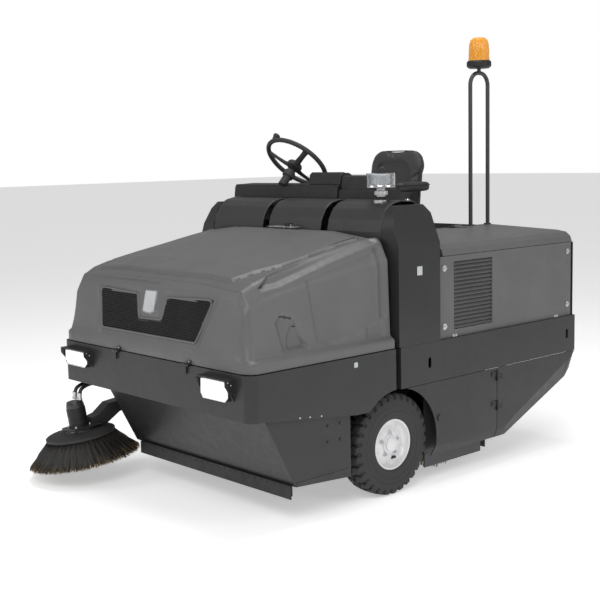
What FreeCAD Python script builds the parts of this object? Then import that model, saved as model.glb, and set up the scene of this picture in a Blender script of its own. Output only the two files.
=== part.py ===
import FreeCAD, Part
import math
import os

# Ride-on sweeper, modelled as separate sub-parts.  Millimetres.
# +X is the machine's left, -Y its front, +Z up.  All sizes below are written in a working frame whose
# zero is on the floor, on the centre plane, under the front axle.  Every sub-part is moved together at
# the end, so that the written files have their origin at the middle of the base.

os.makedirs("parts", exist_ok=True)
V = FreeCAD.Vector
UP = V(0, 0, 1)
ALONG_X = V(1, 0, 0)
ALONG_Y = V(0, 1, 0)

# ---- overall body --------------------------------------------------------------------------------
HALF_WIDTH = 710.0        # body side plates
FRONT_Y = -853.0          # bumper face
HOPPER_REAR_Y = -11.0     # rear edge of the lifting front module
CHASSIS_FRONT_Y = 21.0    # front edge of the rear body
REAR_Y = 1366.0
SKIN = 5.0                # steel body plates
COVER_WALL = 6.0          # moulded covers
SEAM = 2.0                # half a visible gap between two plates
FACE_GAP = 0.3            # clearance between curved faces of separate moving bodies
RUNNING_FIT = 0.05        # radial clearance of a shaft in its bore

# ---- heights -------------------------------------------------------------------------------------
SKIRT_LOW_Z = 487.0
SKIRT_TOP_Z = 676.0
FLOOR_Z = 655.0           # underside of the operator's floor
RAIL_LOW_Z = 500.0
RAIL_HEIGHT = 100.0
RAIL_X = 460.0
RAIL_WIDTH = 60.0
LID_SEAM_Z = 1060.0
LID_TOP_Z = 1134.0
LID_SHOULDER_Z = 1116.0
ARCH_TOP_Z = 1326.0
ARCH_REAR_Y = 326.0

# ---- wheels --------------------------------------------------------------------------------------
TYRE_RADIUS = 234.5
TYRE_WIDTH = 130.0
RIM_RADIUS = 116.0
WHEEL_OUTER_X = 683.0
AXLE_RADIUS = 25.0
ARCH_RADIUS = TYRE_RADIUS + 23.5    # wheel arch cut in the side plates
REAR_WHEEL_RADIUS = 200.0
REAR_WHEEL_WIDTH = 110.0
REAR_WHEEL_Y = 1080.0
REAR_AXLE_RADIUS = 22.0

# ---- lifting front module ------------------------------------------------------------------------
BUMPER_LOW_Z = 483.0
BUMPER_TOP_Z = 675.0
BUMPER_CORNER = 50.0
HOOD_SEAM_Z = 678.0
HOOD_TOP_Z = 1196.0
HOOD_HALF_WIDTH = 704.0
HOOD_HINGE_Y = FRONT_Y - 9.0
HOOD_HINGE_Z = 677.0
ARM_X = (-188.0, 232.0)   # the two lift arms
ARM_WIDTH = 30.0
ARM_SLOT = 46.0           # width of the slots in the arch
LIFT_Y = 150.0
LIFT_Z = 1180.0
SHAFT_Y = -62.0           # where the arms carry the hopper
SHAFT_Z = 552.0
PIVOT_PIN_RADIUS = 20.0
BIN_LEFT_X = 690.0
BIN_RIGHT_X = -470.0
BIN_REAR_Y = -283.0
BIN_TOP_Z = 486.0
DUCT_HALF_WIDTH = 400.0

# ---- roller --------------------------------------------------------------------------------------
ROLLER_Y = 470.0
ROLLER_RADIUS = 204.0
ROLLER_CORE = 90.0
ROLLER_HALF_LENGTH = 545.0
ROLLER_Z = ROLLER_RADIUS + 3.0
ROLLER_SHAFT_RADIUS = 16.0
TUNNEL_HALF_WIDTH = 640.0
TUNNEL_FRONT_Y = TYRE_RADIUS + 15.5
TUNNEL_REAR_Y = 704.0
BAFFLE_Y = 230.0
ROLLER_ARM_Y = 655.0
ROLLER_ARM_Z = 410.0
ROLLER_PIN_RADIUS = 14.0

# ---- side brush ----------------------------------------------------------------------------------
BRUSH_X = -624.0
BRUSH_Y = -809.0
BRUSH_Z = 90.0            # centre of the bristle tips, raised for transport
BRUSH_RADIUS = 276.0
BRUSH_PLATE_RADIUS = 168.0
BRUSH_HEIGHT = 148.0
BRUSH_TILT = 8.3
BRUSH_TILT_AZIMUTH = 227.85
BRUSH_MOTOR_RADIUS = 44.0
BRUSH_MOTOR_HEIGHT = 140.0
BRUSH_ARM_X = -626.0
BRUSH_PIVOT_Y = -TYRE_RADIUS - 100.5    # clear of the tyre
BRUSH_PIVOT_Z = 352.0
BRUSH_PIVOT_RADIUS = 15.0

# ---- operator's place ----------------------------------------------------------------------------
DASH_LEFT_X = 127.0
DASH_RIGHT_X = -663.0
INNER_WALL_X = 150.0      # wall between the operator and the engine
SEAT_X = -270.0
SEAT_BOX_FRONT_Y = 800.0
SEAT_BOX_TOP_Z = 930.0
CUSHION_TOP_Z = 1092.0
SEAT_BACK_TOP_Z = 1559.0
WHEEL_CENTRE = V(SEAT_X, 309.0, 1500.0)
WHEEL_TILT = 43.0         # rake of the steering wheel, front edge high
WHEEL_RADIUS = 168.0
WHEEL_GRIP = 12.5
COLUMN_RADIUS = 22.0
PEDAL_Y = 460.0
PEDAL_PIVOT_Z = 672.0
DRIVE_PEDAL_X = -420.0
BRAKE_PEDAL_X = -200.0

# ---- beacon and air intake -----------------------------------------------------------------------
MAST_X = 150.0
MAST_FRONT_Y = 1199.0
MAST_REAR_Y = 1347.0
MAST_RADIUS = 11.0
MAST_TOP_Z = 1966.0
BEACON_RADIUS = 66.0
DOME_RADIUS = 59.0
BEACON_TOP_Z = 2145.0
INTAKE_X = 505.0
INTAKE_Y = 120.0
INTAKE_PIPE_RADIUS = 20.5
INTAKE_BOWL_RADIUS = 66.0

# ---- lashing holes -------------------------------------------------------------------------------
LASH_RADIUS = 12.5
LASH_PLATE = 16.0
LASH_X = 300.0
LASH_Y = REAR_Y - 8.0      # rear face of the lashing plates
LASH_Z = 428.0
LASH_HALF_WIDTH = 30.0


def box(x0, x1, y0, y1, z0, z1):
    return Part.makeBox(x1 - x0, y1 - y0, z1 - z0, V(x0, y0, z0))


def rod(start, end, radius):
    axis = end.sub(start)
    return Part.makeCylinder(radius, axis.Length, start, axis)


def outline(points):
    return Part.Face(Part.makePolygon(points + [points[0]]))


def prism_x(points, x0, x1):
    """A (y, z) outline carried along X."""
    return outline([V(x0, y, z) for y, z in points]).extrude(V(x1 - x0, 0, 0))


def prism_y(points, y0, y1):
    """An (x, z) outline carried along Y."""
    return outline([V(x, y0, z) for x, z in points]).extrude(V(0, y1 - y0, 0))


def prism_z(points, z0, z1):
    """An (x, y) outline carried along Z."""
    return outline([V(x, y, z0) for x, y in points]).extrude(V(0, 0, z1 - z0))


def hollow_x(points, x0, x1, wall, open_x0=False, open_x1=False):
    """A prism along X with walls; its ends may be left open."""
    face = outline([V(x0, y, z) for y, z in points])
    inner = face.makeOffset2D(-wall)
    start = -1.0 if open_x0 else wall
    end = 1.0 if open_x1 else -wall
    length = (x1 - x0) - start + end
    core = inner.extrude(V(length, 0, 0))
    core.translate(V(start, 0, 0))
    return face.extrude(V(x1 - x0, 0, 0)).cut(core)


def turned(profile, base, axis=UP):
    """A (radius, height) profile turned about an axis through base."""
    wire = Part.makePolygon([V(r, 0, h) for r, h in profile] + [V(profile[0][0], 0, profile[0][1])])
    solid = Part.Face(wire).revolve(V(0, 0, 0), UP, 360)
    return placed(solid, base, axis)


def placed(shape, base, axis):
    copy = shape.copy()
    copy.Placement = FreeCAD.Placement(base, FreeCAD.Rotation(UP, axis))
    return copy


def group(shapes):
    return Part.makeCompound(shapes)


def mirrored(shape):
    return shape.mirror(V(0, 0, 0), ALONG_X)


def ring(points, radius, section):
    """A round tube along straight runs joined by tangent arcs of the given radius."""
    edges = []
    last = points[0]
    for before, corner, after in zip(points, points[1:], points[2:]):
        towards = (before.sub(corner)).normalize()
        away = (after.sub(corner)).normalize()
        half = math.acos(max(-1.0, min(1.0, towards.dot(away)))) / 2
        reach = radius / math.tan(half)
        first = corner.add(V(towards).multiply(reach))
        final = corner.add(V(away).multiply(reach))
        bisector = towards.add(away).normalize()
        middle = corner.add(bisector.multiply(radius / math.sin(half) - radius))
        edges.append(Part.LineSegment(last, first).toShape())
        edges.append(Part.Arc(first, middle, final).toShape())
        last = final
    edges.append(Part.LineSegment(last, points[-1]).toShape())
    path = Part.Wire(edges)
    start = points[0]
    heading = points[1].sub(points[0])
    profile = Part.Wire(Part.Circle(start, heading, section).toShape())
    return path.makePipeShell([profile], True, False)


def side_arch(x0, x1):
    """The space that a front wheel needs in a side plate."""
    return rod(V(x0, 0, TYRE_RADIUS), V(x1, 0, TYRE_RADIUS), ARCH_RADIUS)


# ---- chassis -------------------------------------------------------------------------------------
POST_THICKNESS = 12.0
POST_CLEARANCE = 2.0      # beyond the slot edges in the arch
DROP_X = 445.0
DROP_THICKNESS = 15.0
SWIVEL_RADIUS = 110.0
SWIVEL_Z = 472.0
OUTRIGGER_Z = 560.0
OUTRIGGER_YS = (60.0, 740.0, REAR_Y - 56.0)
REAR_PLATE_Y = REAR_Y - SKIN - 1


def arch_profile():
    top = ARCH_TOP_Z
    rear = ARCH_REAR_Y
    return [(CHASSIS_FRONT_Y - 9, SKIRT_TOP_Z + 2), (CHASSIS_FRONT_Y - 9, top - 136), (40, top - 58),
            (78, top - 18), (140, top), (240, top - 8), (rear - 26, top - 74), (rear, top - 126),
            (rear, SKIRT_TOP_Z + 2)]


def lift_posts():
    posts = []
    outline_points = [(95, RAIL_LOW_Z + 10), (95, LIFT_Z - 20), (125, LIFT_Z + 32), (175, LIFT_Z + 32),
                      (205, LIFT_Z - 20), (205, RAIL_LOW_Z + 10)]
    for x in ARM_X:
        for side in (-1, 1):
            inner = x + side * (ARM_SLOT / 2 + POST_CLEARANCE)
            outer = inner + side * POST_THICKNESS
            posts.append(prism_x(outline_points, min(inner, outer), max(inner, outer)))
        reach = ARM_SLOT / 2 + POST_CLEARANCE + POST_THICKNESS
        posts.append(rod(V(x - reach, LIFT_Y, LIFT_Z), V(x + reach, LIFT_Y, LIFT_Z), PIVOT_PIN_RADIUS))
    return posts


def brush_bracket():
    """Carries the side brush arm beyond the inner face of the right front wheel."""
    front = BRUSH_PIVOT_Y
    rear = -TYRE_RADIUS - 15.5
    beam = box(-540, -DROP_X - DROP_THICKNESS, rear - 12, 40, 315, 385)
    plate = box(-680, -520, rear - 22, rear, 315, 385)
    ears = []
    for x in (BRUSH_ARM_X - 52, BRUSH_ARM_X + 40):
        ears.append(box(x, x + 12, front - 24, rear - 22, BRUSH_PIVOT_Z - 24, BRUSH_PIVOT_Z + 24))
    pin = rod(V(BRUSH_ARM_X - 52, front, BRUSH_PIVOT_Z), V(BRUSH_ARM_X + 52, front, BRUSH_PIVOT_Z),
              BRUSH_PIVOT_RADIUS)
    body = beam.fuse([plate] + ears + [pin])
    return body


def chassis_frame():
    top = RAIL_LOW_Z + RAIL_HEIGHT
    parts = []
    for side in (-1, 1):
        x = side * RAIL_X
        parts.append(box(x - RAIL_WIDTH / 2, x + RAIL_WIDTH / 2, 30, REAR_Y - 26, RAIL_LOW_Z, top))
        drop = prism_x([(-70, 170), (70, 170), (150, RAIL_LOW_Z), (150, top), (30, top),
                        (30, RAIL_LOW_Z - 26), (-70, 330)],
                       min(side * DROP_X, side * (DROP_X + DROP_THICKNESS)),
                       max(side * DROP_X, side * (DROP_X + DROP_THICKNESS)))
        stub = rod(V(side * DROP_X, 0, TYRE_RADIUS), V(side * (WHEEL_OUTER_X - 0.2 * TYRE_WIDTH - 1), 0, TYRE_RADIUS), AXLE_RADIUS)
        parts += [drop, stub]
    reach = HALF_WIDTH - SKIN
    for y in OUTRIGGER_YS:
        parts.append(box(-reach, reach, y, y + 50, OUTRIGGER_Z, top))
    for side in (-1, 1):
        x0 = min(side * reach, side * (reach - 12))
        parts.append(box(x0, x0 + 12, 745, 785, 440, top))
        parts.append(box(x0, x0 + 12, REAR_Y - 54, REAR_Y - 16, 470, top))
    parts += lift_posts()
    parts.append(box(-RAIL_X, RAIL_X, 95, 205, OUTRIGGER_Z, top))
    swivel_top = box(-RAIL_X, RAIL_X, REAR_WHEEL_Y - 130, REAR_WHEEL_Y + 130, RAIL_LOW_Z, RAIL_LOW_Z + 20)
    parts.append(swivel_top)
    collar = Part.makeCylinder(SWIVEL_RADIUS, RAIL_LOW_Z - SWIVEL_Z, V(0, REAR_WHEEL_Y, SWIVEL_Z))
    bore = Part.makeCylinder(KINGPIN_RADIUS + RUNNING_FIT, RAIL_LOW_Z - SWIVEL_Z + 22, V(0, REAR_WHEEL_Y, SWIVEL_Z - 1))
    parts.append(brush_bracket())
    for x in (-LASH_X, LASH_X):
        ear = box(x - LASH_HALF_WIDTH, x + LASH_HALF_WIDTH, LASH_Y - LASH_PLATE, LASH_Y, LASH_Z - LASH_HALF_WIDTH, OUTRIGGER_Z)
        parts.append(ear)
    frame = parts[0].fuse(parts[1:] + [collar]).cut(bore)
    for x in (-LASH_X, LASH_X):
        frame = frame.cut(rod(V(x, LASH_Y - LASH_PLATE - 4, LASH_Z), V(x, LASH_Y + 4, LASH_Z), LASH_RADIUS))
    return frame.removeSplitter()


def skirt_left():
    low = SKIRT_LOW_Z + SEAM
    wall = HALF_WIDTH - SKIN
    plate = prism_y([(HALF_WIDTH, low), (HALF_WIDTH, SKIRT_TOP_Z), (650, SKIRT_TOP_Z), (650, SKIRT_TOP_Z - SKIN),
                     (wall, SKIRT_TOP_Z - SKIN), (wall, low)], CHASSIS_FRONT_Y, REAR_PLATE_Y)
    front = box(650, wall, CHASSIS_FRONT_Y, CHASSIS_FRONT_Y + SKIN, low, SKIRT_TOP_Z - SKIN)
    plate = plate.fuse(front)
    for y in (LASH_SLOT_FRONT_Y, LASH_SLOT_REAR_Y):
        plate = plate.cut(lashing_slot(y))
    return plate


LASH_SLOT_FRONT_Y = 215.0
LASH_SLOT_REAR_Y = 1294.0
LASH_SLOT_Z = 583.0
LASH_SLOT_HALF = 15.0
LASH_SLOT_RADIUS = 10.0


def lashing_slot(y):
    x0 = HALF_WIDTH - SKIN - 1
    x1 = HALF_WIDTH + 1
    slot = box(x0, x1, y - LASH_SLOT_RADIUS, y + LASH_SLOT_RADIUS, LASH_SLOT_Z - LASH_SLOT_HALF,
               LASH_SLOT_Z + LASH_SLOT_HALF)
    for z in (LASH_SLOT_Z - LASH_SLOT_HALF, LASH_SLOT_Z + LASH_SLOT_HALF):
        slot = slot.fuse(rod(V(x0, y, z), V(x1, y, z), LASH_SLOT_RADIUS))
    return slot


# ---- lower side plates ---------------------------------------------------------------------------
DOOR_REAR_Y = 708.0
FOLD_Z = 190.0
SILL_Z = 137.0
FOLD_INSET = 20.0
TAIL_Y = 1324.0
TAIL_Z = 454.0


def folded_band(start, end, start_low, end_low):
    """A leaning strip between a fold line and the lower edge below it, one plate thick."""
    upper = Part.makePolygon([start, end]).Edges[0]
    lower = Part.makePolygon([start_low, end_low]).Edges[0]
    face = Part.makeRuledSurface(upper, lower)
    return face.extrude(V(-SKIN, 0, 0))


def rear_side_plate():
    """Left rear side plate: flat above a rising fold line, leaning inwards below it."""
    x0 = HALF_WIDTH - SKIN
    y0 = DOOR_REAR_Y + SEAM
    top = SKIRT_LOW_Z
    plate = prism_x([(y0, top), (REAR_Y - 4, top), (REAR_Y - 20, TAIL_Z + 14), (TAIL_Y, TAIL_Z), (772, FOLD_Z),
                     (y0, FOLD_Z)], x0, HALF_WIDTH)
    low_x = HALF_WIDTH - FOLD_INSET
    slope = folded_band(V(HALF_WIDTH, 772, FOLD_Z), V(HALF_WIDTH, TAIL_Y, TAIL_Z),
                        V(low_x, 790, SILL_Z), V(low_x, TAIL_Y - 20, TAIL_Z - 100))
    sill = folded_band(V(HALF_WIDTH, y0, FOLD_Z), V(HALF_WIDTH, 772, FOLD_Z), V(low_x, y0, SILL_Z), V(low_x, 790, SILL_Z))
    tail = folded_band(V(HALF_WIDTH, TAIL_Y, TAIL_Z), V(HALF_WIDTH, REAR_Y - 20, TAIL_Z + 14),
                       V(low_x, TAIL_Y - 20, TAIL_Z - 100), V(low_x, REAR_Y - 24, TAIL_Z - 60))
    plate = plate.fuse([slope, sill, tail])
    return plate


def door_plate():
    """Side plate between the wheel arch and the hinge line."""
    x0 = HALF_WIDTH - SKIN
    top = SKIRT_LOW_Z
    plate = prism_x([(40, top), (DOOR_REAR_Y - SEAM, top), (DOOR_REAR_Y - SEAM, FOLD_Z), (236, FOLD_Z), (40, 300)],
                    x0, HALF_WIDTH)
    low_x = HALF_WIDTH - FOLD_INSET
    sill = folded_band(V(HALF_WIDTH, 225, FOLD_Z), V(HALF_WIDTH, DOOR_REAR_Y - SEAM, FOLD_Z),
                       V(low_x, 225, SILL_Z), V(low_x, DOOR_REAR_Y - SEAM, SILL_Z))
    return plate.fuse(sill).cut(side_arch(x0 - 40, HALF_WIDTH + 10))


HINGE_RADIUS = 6.0
HINGE_PIN_RADIUS = 3.0
HINGE_LENGTH = 24.0
HINGE_ZS = (448.0, 300.0)
HINGE_X = HALF_WIDTH + HINGE_RADIUS


def hinge_leaf(z0, z1, y0, y1, bore):
    knuckle = Part.makeCylinder(HINGE_RADIUS, z1 - z0, V(HINGE_X, DOOR_REAR_Y, z0))
    leaf = box(HALF_WIDTH, HALF_WIDTH + 3, y0, y1, z0, z1)
    body = knuckle.fuse(leaf)
    if bore:
        hole = Part.makeCylinder(HINGE_PIN_RADIUS + RUNNING_FIT, z1 - z0 + 2, V(HINGE_X, DOOR_REAR_Y, z0 - 1))
        return body.cut(hole)
    return body


def bolt_head(base, axis, radius=6.0, height=4.0):
    return placed(Part.makeCylinder(radius, height), base, axis)


def rear_side_left():
    parts = [rear_side_plate()]
    for z in HINGE_ZS:
        leaf = hinge_leaf(z - HINGE_LENGTH, z, DOOR_REAR_Y + 2, DOOR_REAR_Y + 44, False)
        pin = Part.makeCylinder(HINGE_PIN_RADIUS, 2 * HINGE_LENGTH, V(HINGE_X, DOOR_REAR_Y, z - HINGE_LENGTH))
        parts.append(leaf.fuse(pin))
        for y in (DOOR_REAR_Y + 20, DOOR_REAR_Y + 36):
            parts.append(bolt_head(V(HALF_WIDTH + 3, y, z - HINGE_LENGTH / 2), ALONG_X, 4.0, 2.5))
    return group(parts)


def roller_door():
    parts = [door_plate()]
    for z in HINGE_ZS:
        parts.append(hinge_leaf(z + FACE_GAP, z + HINGE_LENGTH, DOOR_REAR_Y - 44, DOOR_REAR_Y - 2, True))
        for y in (DOOR_REAR_Y - 36, DOOR_REAR_Y - 20):
            parts.append(bolt_head(V(HALF_WIDTH + 3, y, z + HINGE_LENGTH / 2), ALONG_X, 4.0, 2.5))
    parts.append(bolt_head(V(HALF_WIDTH, 282, 314), ALONG_X, 16.0, 5.0))
    return group(parts)


STEP_Y0 = 380.0
STEP_Y1 = 640.0
STEP_Z0 = 300.0
STEP_Z1 = 420.0


def lower_side_right():
    """The right side is one fixed plate with a toe step in it."""
    plate = mirrored(rear_side_plate().fuse(door_plate()))
    x0 = -HALF_WIDTH
    x1 = -TUNNEL_HALF_WIDTH - 8
    plate = plate.fuse(mirrored(box(HALF_WIDTH - SKIN, HALF_WIDTH, DOOR_REAR_Y - SEAM, DOOR_REAR_Y + SEAM, FOLD_Z,
                                    SKIRT_LOW_Z)))
    plate = plate.cut(box(x0 - 1, x0 + SKIN + 1, STEP_Y0, STEP_Y1, STEP_Z0, STEP_Z1))
    tray = box(x0 + SKIN - 1, x1, STEP_Y0 - 4, STEP_Y1 + 4, STEP_Z0 - 4, STEP_Z1 + 4)
    tray = tray.cut(box(x0, x1 - 4, STEP_Y0, STEP_Y1, STEP_Z0, STEP_Z1))
    return plate.fuse(tray)


def rear_panel():
    y0 = REAR_PLATE_Y
    y1 = REAR_Y - 1
    lower = box(-HALF_WIDTH, HALF_WIDTH, y0, y1, SKIRT_LOW_Z + SEAM, SKIRT_TOP_Z)
    upper = box(-PANEL_X + SKIN, PANEL_X, y0, y1, SKIRT_TOP_Z, LID_SEAM_Z - SEAM)
    panel = lower.fuse(upper)
    for row in range(9):
        z = 720 + 32 * row
        panel = panel.cut(box(220, 620, y0 - 1, REAR_Y, z, z + 16))
    return panel.removeSplitter()


# ---- arch over the lift arms -----------------------------------------------------------------------
CAP_X = 600.0
CAP_FOLD_Z = 1130.0
CAP_TOP_X = 640.0
CAP_TOP_Z = 1302.0
CAP_REAR_Y = 290.0


def arch_side_left():
    wall = COVER_WALL
    outer_points = [(HALF_WIDTH, SKIRT_TOP_Z + 2), (HALF_WIDTH, CAP_FOLD_Z), (CAP_TOP_X, CAP_TOP_Z),
                    (CAP_X, CAP_TOP_Z), (CAP_X, SKIRT_TOP_Z + 2)]
    inner_points = [(HALF_WIDTH - wall, SKIRT_TOP_Z - 9), (HALF_WIDTH - wall, CAP_FOLD_Z - 2),
                    (CAP_TOP_X - 4, CAP_TOP_Z - wall), (CAP_X - 9, CAP_TOP_Z - wall), (CAP_X - 9, SKIRT_TOP_Z - 9)]
    outer = prism_y(outer_points, CHASSIS_FRONT_Y - 9, CAP_REAR_Y)
    inner = prism_y(inner_points, CHASSIS_FRONT_Y - 9 + wall, CAP_REAR_Y - wall)
    profile = outline([V(CAP_X - 20, y, z) for y, z in arch_profile()])
    room = profile.makeOffset2D(-wall).extrude(V(HALF_WIDTH - CAP_X + 40, 0, 0))
    outer = outer.common(profile.extrude(V(HALF_WIDTH - CAP_X + 40, 0, 0)))
    inner = inner.common(room.fuse(prism_y(inner_points, CHASSIS_FRONT_Y - 9 + wall, CAP_REAR_Y - wall).common(
        box(CAP_X - 20, HALF_WIDTH, 0, CAP_REAR_Y, SKIRT_TOP_Z - 9, SKIRT_TOP_Z + 20))))
    foot = box(HALF_WIDTH - wall, HALF_WIDTH - 1, 30, CAP_REAR_Y, SKIRT_TOP_Z, SKIRT_TOP_Z + 2)
    return outer.cut(inner).fuse(foot)


def arch_covers():
    """Three shells side by side; the gaps between them let the lift arms swing out."""
    gap = 1.0
    edges = [-CAP_X + gap, ARM_X[0] - ARM_SLOT / 2, ARM_X[0] + ARM_SLOT / 2, ARM_X[1] - ARM_SLOT / 2,
             ARM_X[1] + ARM_SLOT / 2, CAP_X - gap]
    shells = []
    for x0, x1 in zip(edges[0::2], edges[1::2]):
        shell = hollow_x(arch_profile(), x0, x1, COVER_WALL, True, True)
        shells.append(shell.cut(box(x0 - 1, x1 + 1, 25, ARCH_REAR_Y - 14, SKIRT_TOP_Z, SKIRT_TOP_Z + 20)))
    return group(shells)


STAY_REAR_Y = 235.0


def arch_surface_z(y):
    """Height of the arch's upper surface at a distance behind the front axle."""
    points = arch_profile()[:-1]
    for (y0, z0), (y1, z1) in zip(points, points[1:]):
        if y0 <= y <= y1 and y1 > y0:
            return z0 + (z1 - z0) * (y - y0) / (y1 - y0)
    return points[-1][1]


def cover_stays():
    """Uprights inside the arch that the covers and the dash stand on."""
    posts = []
    for x in (-520.0, 26.0, 520.0):
        top = arch_surface_z(STAY_REAR_Y) - COVER_WALL - 0.5
        posts.append(box(x - 20, x + 20, STAY_REAR_Y - 40, STAY_REAR_Y, OUTRIGGER_Z, top))
    shelf = box(-540, 540, 205, STAY_REAR_Y, OUTRIGGER_Z, OUTRIGGER_Z + 40)
    return posts + [shelf]


# ---- operator's place ------------------------------------------------------------------------------
def floor_deck():
    x0 = -HALF_WIDTH + SKIN
    z1 = FLOOR_Z + 7
    floor = box(x0, INNER_WALL_X + SKIN, ARCH_REAR_Y + 4, REAR_Y - 8, FLOOR_Z, z1)
    wall = box(INNER_WALL_X, INNER_WALL_X + SKIN, ARCH_REAR_Y + 4, REAR_Y - 8, z1, LID_TOP_Z - SKIN)
    flange = box(INNER_WALL_X - 22, INNER_WALL_X + 24, ARCH_REAR_Y + 4, REAR_Y - 8, LID_TOP_Z - SKIN, LID_TOP_Z)
    kick = box(-640, DASH_LEFT_X, ARCH_REAR_Y + 6, ARCH_REAR_Y + 16, z1, SKIRT_TOP_Z - 0.3)
    legs = [box(x - 20, x + 20, y, y + 40, RAIL_LOW_Z + RAIL_HEIGHT, FLOOR_Z)
            for x in (-RAIL_X, -100.0) for y in (745.0, 1312.0)]
    return floor.fuse([wall, flange, kick] + legs)


def dash_panel():
    rear = ARCH_REAR_Y
    top = ARCH_TOP_Z
    gap = 0.6
    points = [(205, arch_surface_z(205) + gap), (212, DASH_TOP_Z - 14), (DASH_FRONT_Y, DASH_TOP_Z), (345, DASH_TOP_Z + 4),
              (422, 1338), (426, 1316), (rear + 40, 1150), (rear + 40, SKIRT_TOP_Z), (rear + 5, SKIRT_TOP_Z),
              (rear + 5, top - 126), (rear - 1, top - 126 + 3), (rear - 26, arch_surface_z(rear - 26) + gap),
              (240, arch_surface_z(240) + gap)]
    return hollow_x(points, DASH_RIGHT_X, DASH_LEFT_X, COVER_WALL)


DASH_FRONT_Y = 220.0
DASH_TOP_Z = 1388.0


def instrument_cowl():
    base = DASH_TOP_Z + 0.8
    points = [(230, base), (240, base + 50), (255, base + 61), (312, base + 50), (338, base + 3.6)]
    return hollow_x(points, COWL_RIGHT_X, DASH_LEFT_X - 2, COVER_WALL)


COWL_RIGHT_X = -100.0
CONSOLE_LEFT_X = 440.0
CONSOLE_HUMP_X = 325.0


def side_console():
    top = CONSOLE_TOP_Z
    gap = 0.6
    points = [(214, arch_surface_z(214) + gap), (218, top - 8), (235, top), (322, top - 4), (330, top - 14), (330, 1290),
              (312, arch_surface_z(312) + gap + 6), (300, arch_surface_z(300) + gap), (240, arch_surface_z(240) + gap)]
    body = hollow_x(points, DASH_LEFT_X + 4, CONSOLE_LEFT_X, COVER_WALL)
    hump = hollow_x([(232, top - 1), (242, top + 58), (256, top + 66), (306, top + 56), (318, top - 4)], DASH_LEFT_X + 4,
                    CONSOLE_HUMP_X, COVER_WALL)
    return body.fuse(hump)


CONSOLE_TOP_Z = ARCH_TOP_Z + 42.0


def seat_box():
    x0 = -648.0
    x1 = INNER_WALL_X - 1
    y0 = SEAT_BOX_FRONT_Y
    z0 = FLOOR_Z + 7
    lower = box(x0, x1, y0, REAR_Y - 8, z0, SEAT_BOX_TOP_Z)
    lower = lower.cut(box(x0 + 6, x1 - 6, y0 + 6, REAR_Y - 14, z0 - 1, SEAT_BOX_TOP_Z - 6))
    wall = box(x0, x1 - 26, REAR_Y - 28, REAR_Y - 8, SEAT_BOX_TOP_Z, LID_TOP_Z - 6)
    pedestal = box(SEAT_X - 130, SEAT_X + 130, y0 + 20, y0 + 230, SEAT_BOX_TOP_Z, SEAT_RAIL_Z)
    rails = [box(x - 14, x + 14, y0 - 90, y0 + 280, SEAT_RAIL_Z, SEAT_RAIL_Z + 14)
             for x in (SEAT_X - 110, SEAT_X + 110)]
    bracket = box(SEAT_X + 212, SEAT_X + 228, PARKING_LEVER.y - 30, PARKING_LEVER.y + 30, SEAT_BOX_TOP_Z, SEAT_BOX_TOP_Z + 46)
    return lower.fuse([wall, pedestal] + rails + [bracket])


SEAT_RAIL_Z = 978.0
CUSHION_DEPTH = 440.0
CUSHION_WIDTH = 450.0
CUSHION_FRONT_Y = 590.0
PAN_Z = SEAT_RAIL_Z + 14.0
PAN_HEIGHT = 14.0
BACK_LEAN = 7.0
BACK_WIDTH = 380.0
BACK_THICKNESS = 86.0
BACK_FOOT_Y = 985.0
BACK_FOOT_Z = 1100.0


def leaning(shape):
    """Leans a seat back shape rearwards about its foot."""
    copy = shape.copy()
    copy.rotate(V(SEAT_X, BACK_FOOT_Y, BACK_FOOT_Z), ALONG_X, -BACK_LEAN)
    return copy


def rounded_box(x0, x1, y0, y1, z0, z1, radius):
    body = box(x0, x1, y0, y1, z0, z1)
    return body.makeFillet(radius, body.Edges)


def seat_cushion():
    half = CUSHION_WIDTH / 2
    pan = box(SEAT_X - half + 20, SEAT_X + half - 20, CUSHION_FRONT_Y + 20, CUSHION_FRONT_Y + CUSHION_DEPTH - 10,
              PAN_Z, PAN_Z + PAN_HEIGHT)
    cushion = rounded_box(SEAT_X - half, SEAT_X + half, CUSHION_FRONT_Y, CUSHION_FRONT_Y + CUSHION_DEPTH - 60,
                          PAN_Z + PAN_HEIGHT, CUSHION_TOP_Z, 26)
    stays = []
    for side in (-1, 1):
        x = SEAT_X + side * 120
        stays.append(box(x - 12, x + 12, CUSHION_FRONT_Y + CUSHION_DEPTH - 50, CUSHION_FRONT_Y + CUSHION_DEPTH - 10,
                         PAN_Z + PAN_HEIGHT, BACK_FOOT_Z + 20))
    return group([pan.fuse(stays), cushion])


def seat_back():
    half = BACK_WIDTH / 2
    height = SEAT_BACK_TOP_Z - BACK_FOOT_Z
    points = [(SEAT_X - half, BACK_FOOT_Z + 30), (SEAT_X - half, BACK_FOOT_Z + 300),
              (SEAT_X - half + 40, BACK_FOOT_Z + height), (SEAT_X + half - 40, BACK_FOOT_Z + height),
              (SEAT_X + half, BACK_FOOT_Z + 300), (SEAT_X + half, BACK_FOOT_Z + 30)]
    body = prism_y(points, BACK_FOOT_Y, BACK_FOOT_Y + BACK_THICKNESS)
    body = body.makeFillet(24, body.Edges)
    body = leaning(body)
    ears = []
    for side in (-1, 1):
        x = SEAT_X + side * 120
        ears.append(box(x - 12, x + 12, CUSHION_FRONT_Y + CUSHION_DEPTH - 50, CUSHION_FRONT_Y + CUSHION_DEPTH - 10,
                        BACK_FOOT_Z + 20, BACK_FOOT_Z + 50))
    pin_y = ARMREST_PIVOT.y
    pin = rod(V(SEAT_X + half - 30, pin_y, ARMREST_PIVOT.z), V(SEAT_X + half + 46, pin_y, ARMREST_PIVOT.z), ARMREST_PIN)
    return body.fuse(ears + [pin])


ARMREST_PIVOT = V(0, 1052.0, 1352.0)
ARMREST_PIN = 10.0
ARMREST_X0 = SEAT_X + BACK_WIDTH / 2 + 6
ARMREST_X1 = ARMREST_X0 + 52
ARMREST_LENGTH = 250.0


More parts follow.
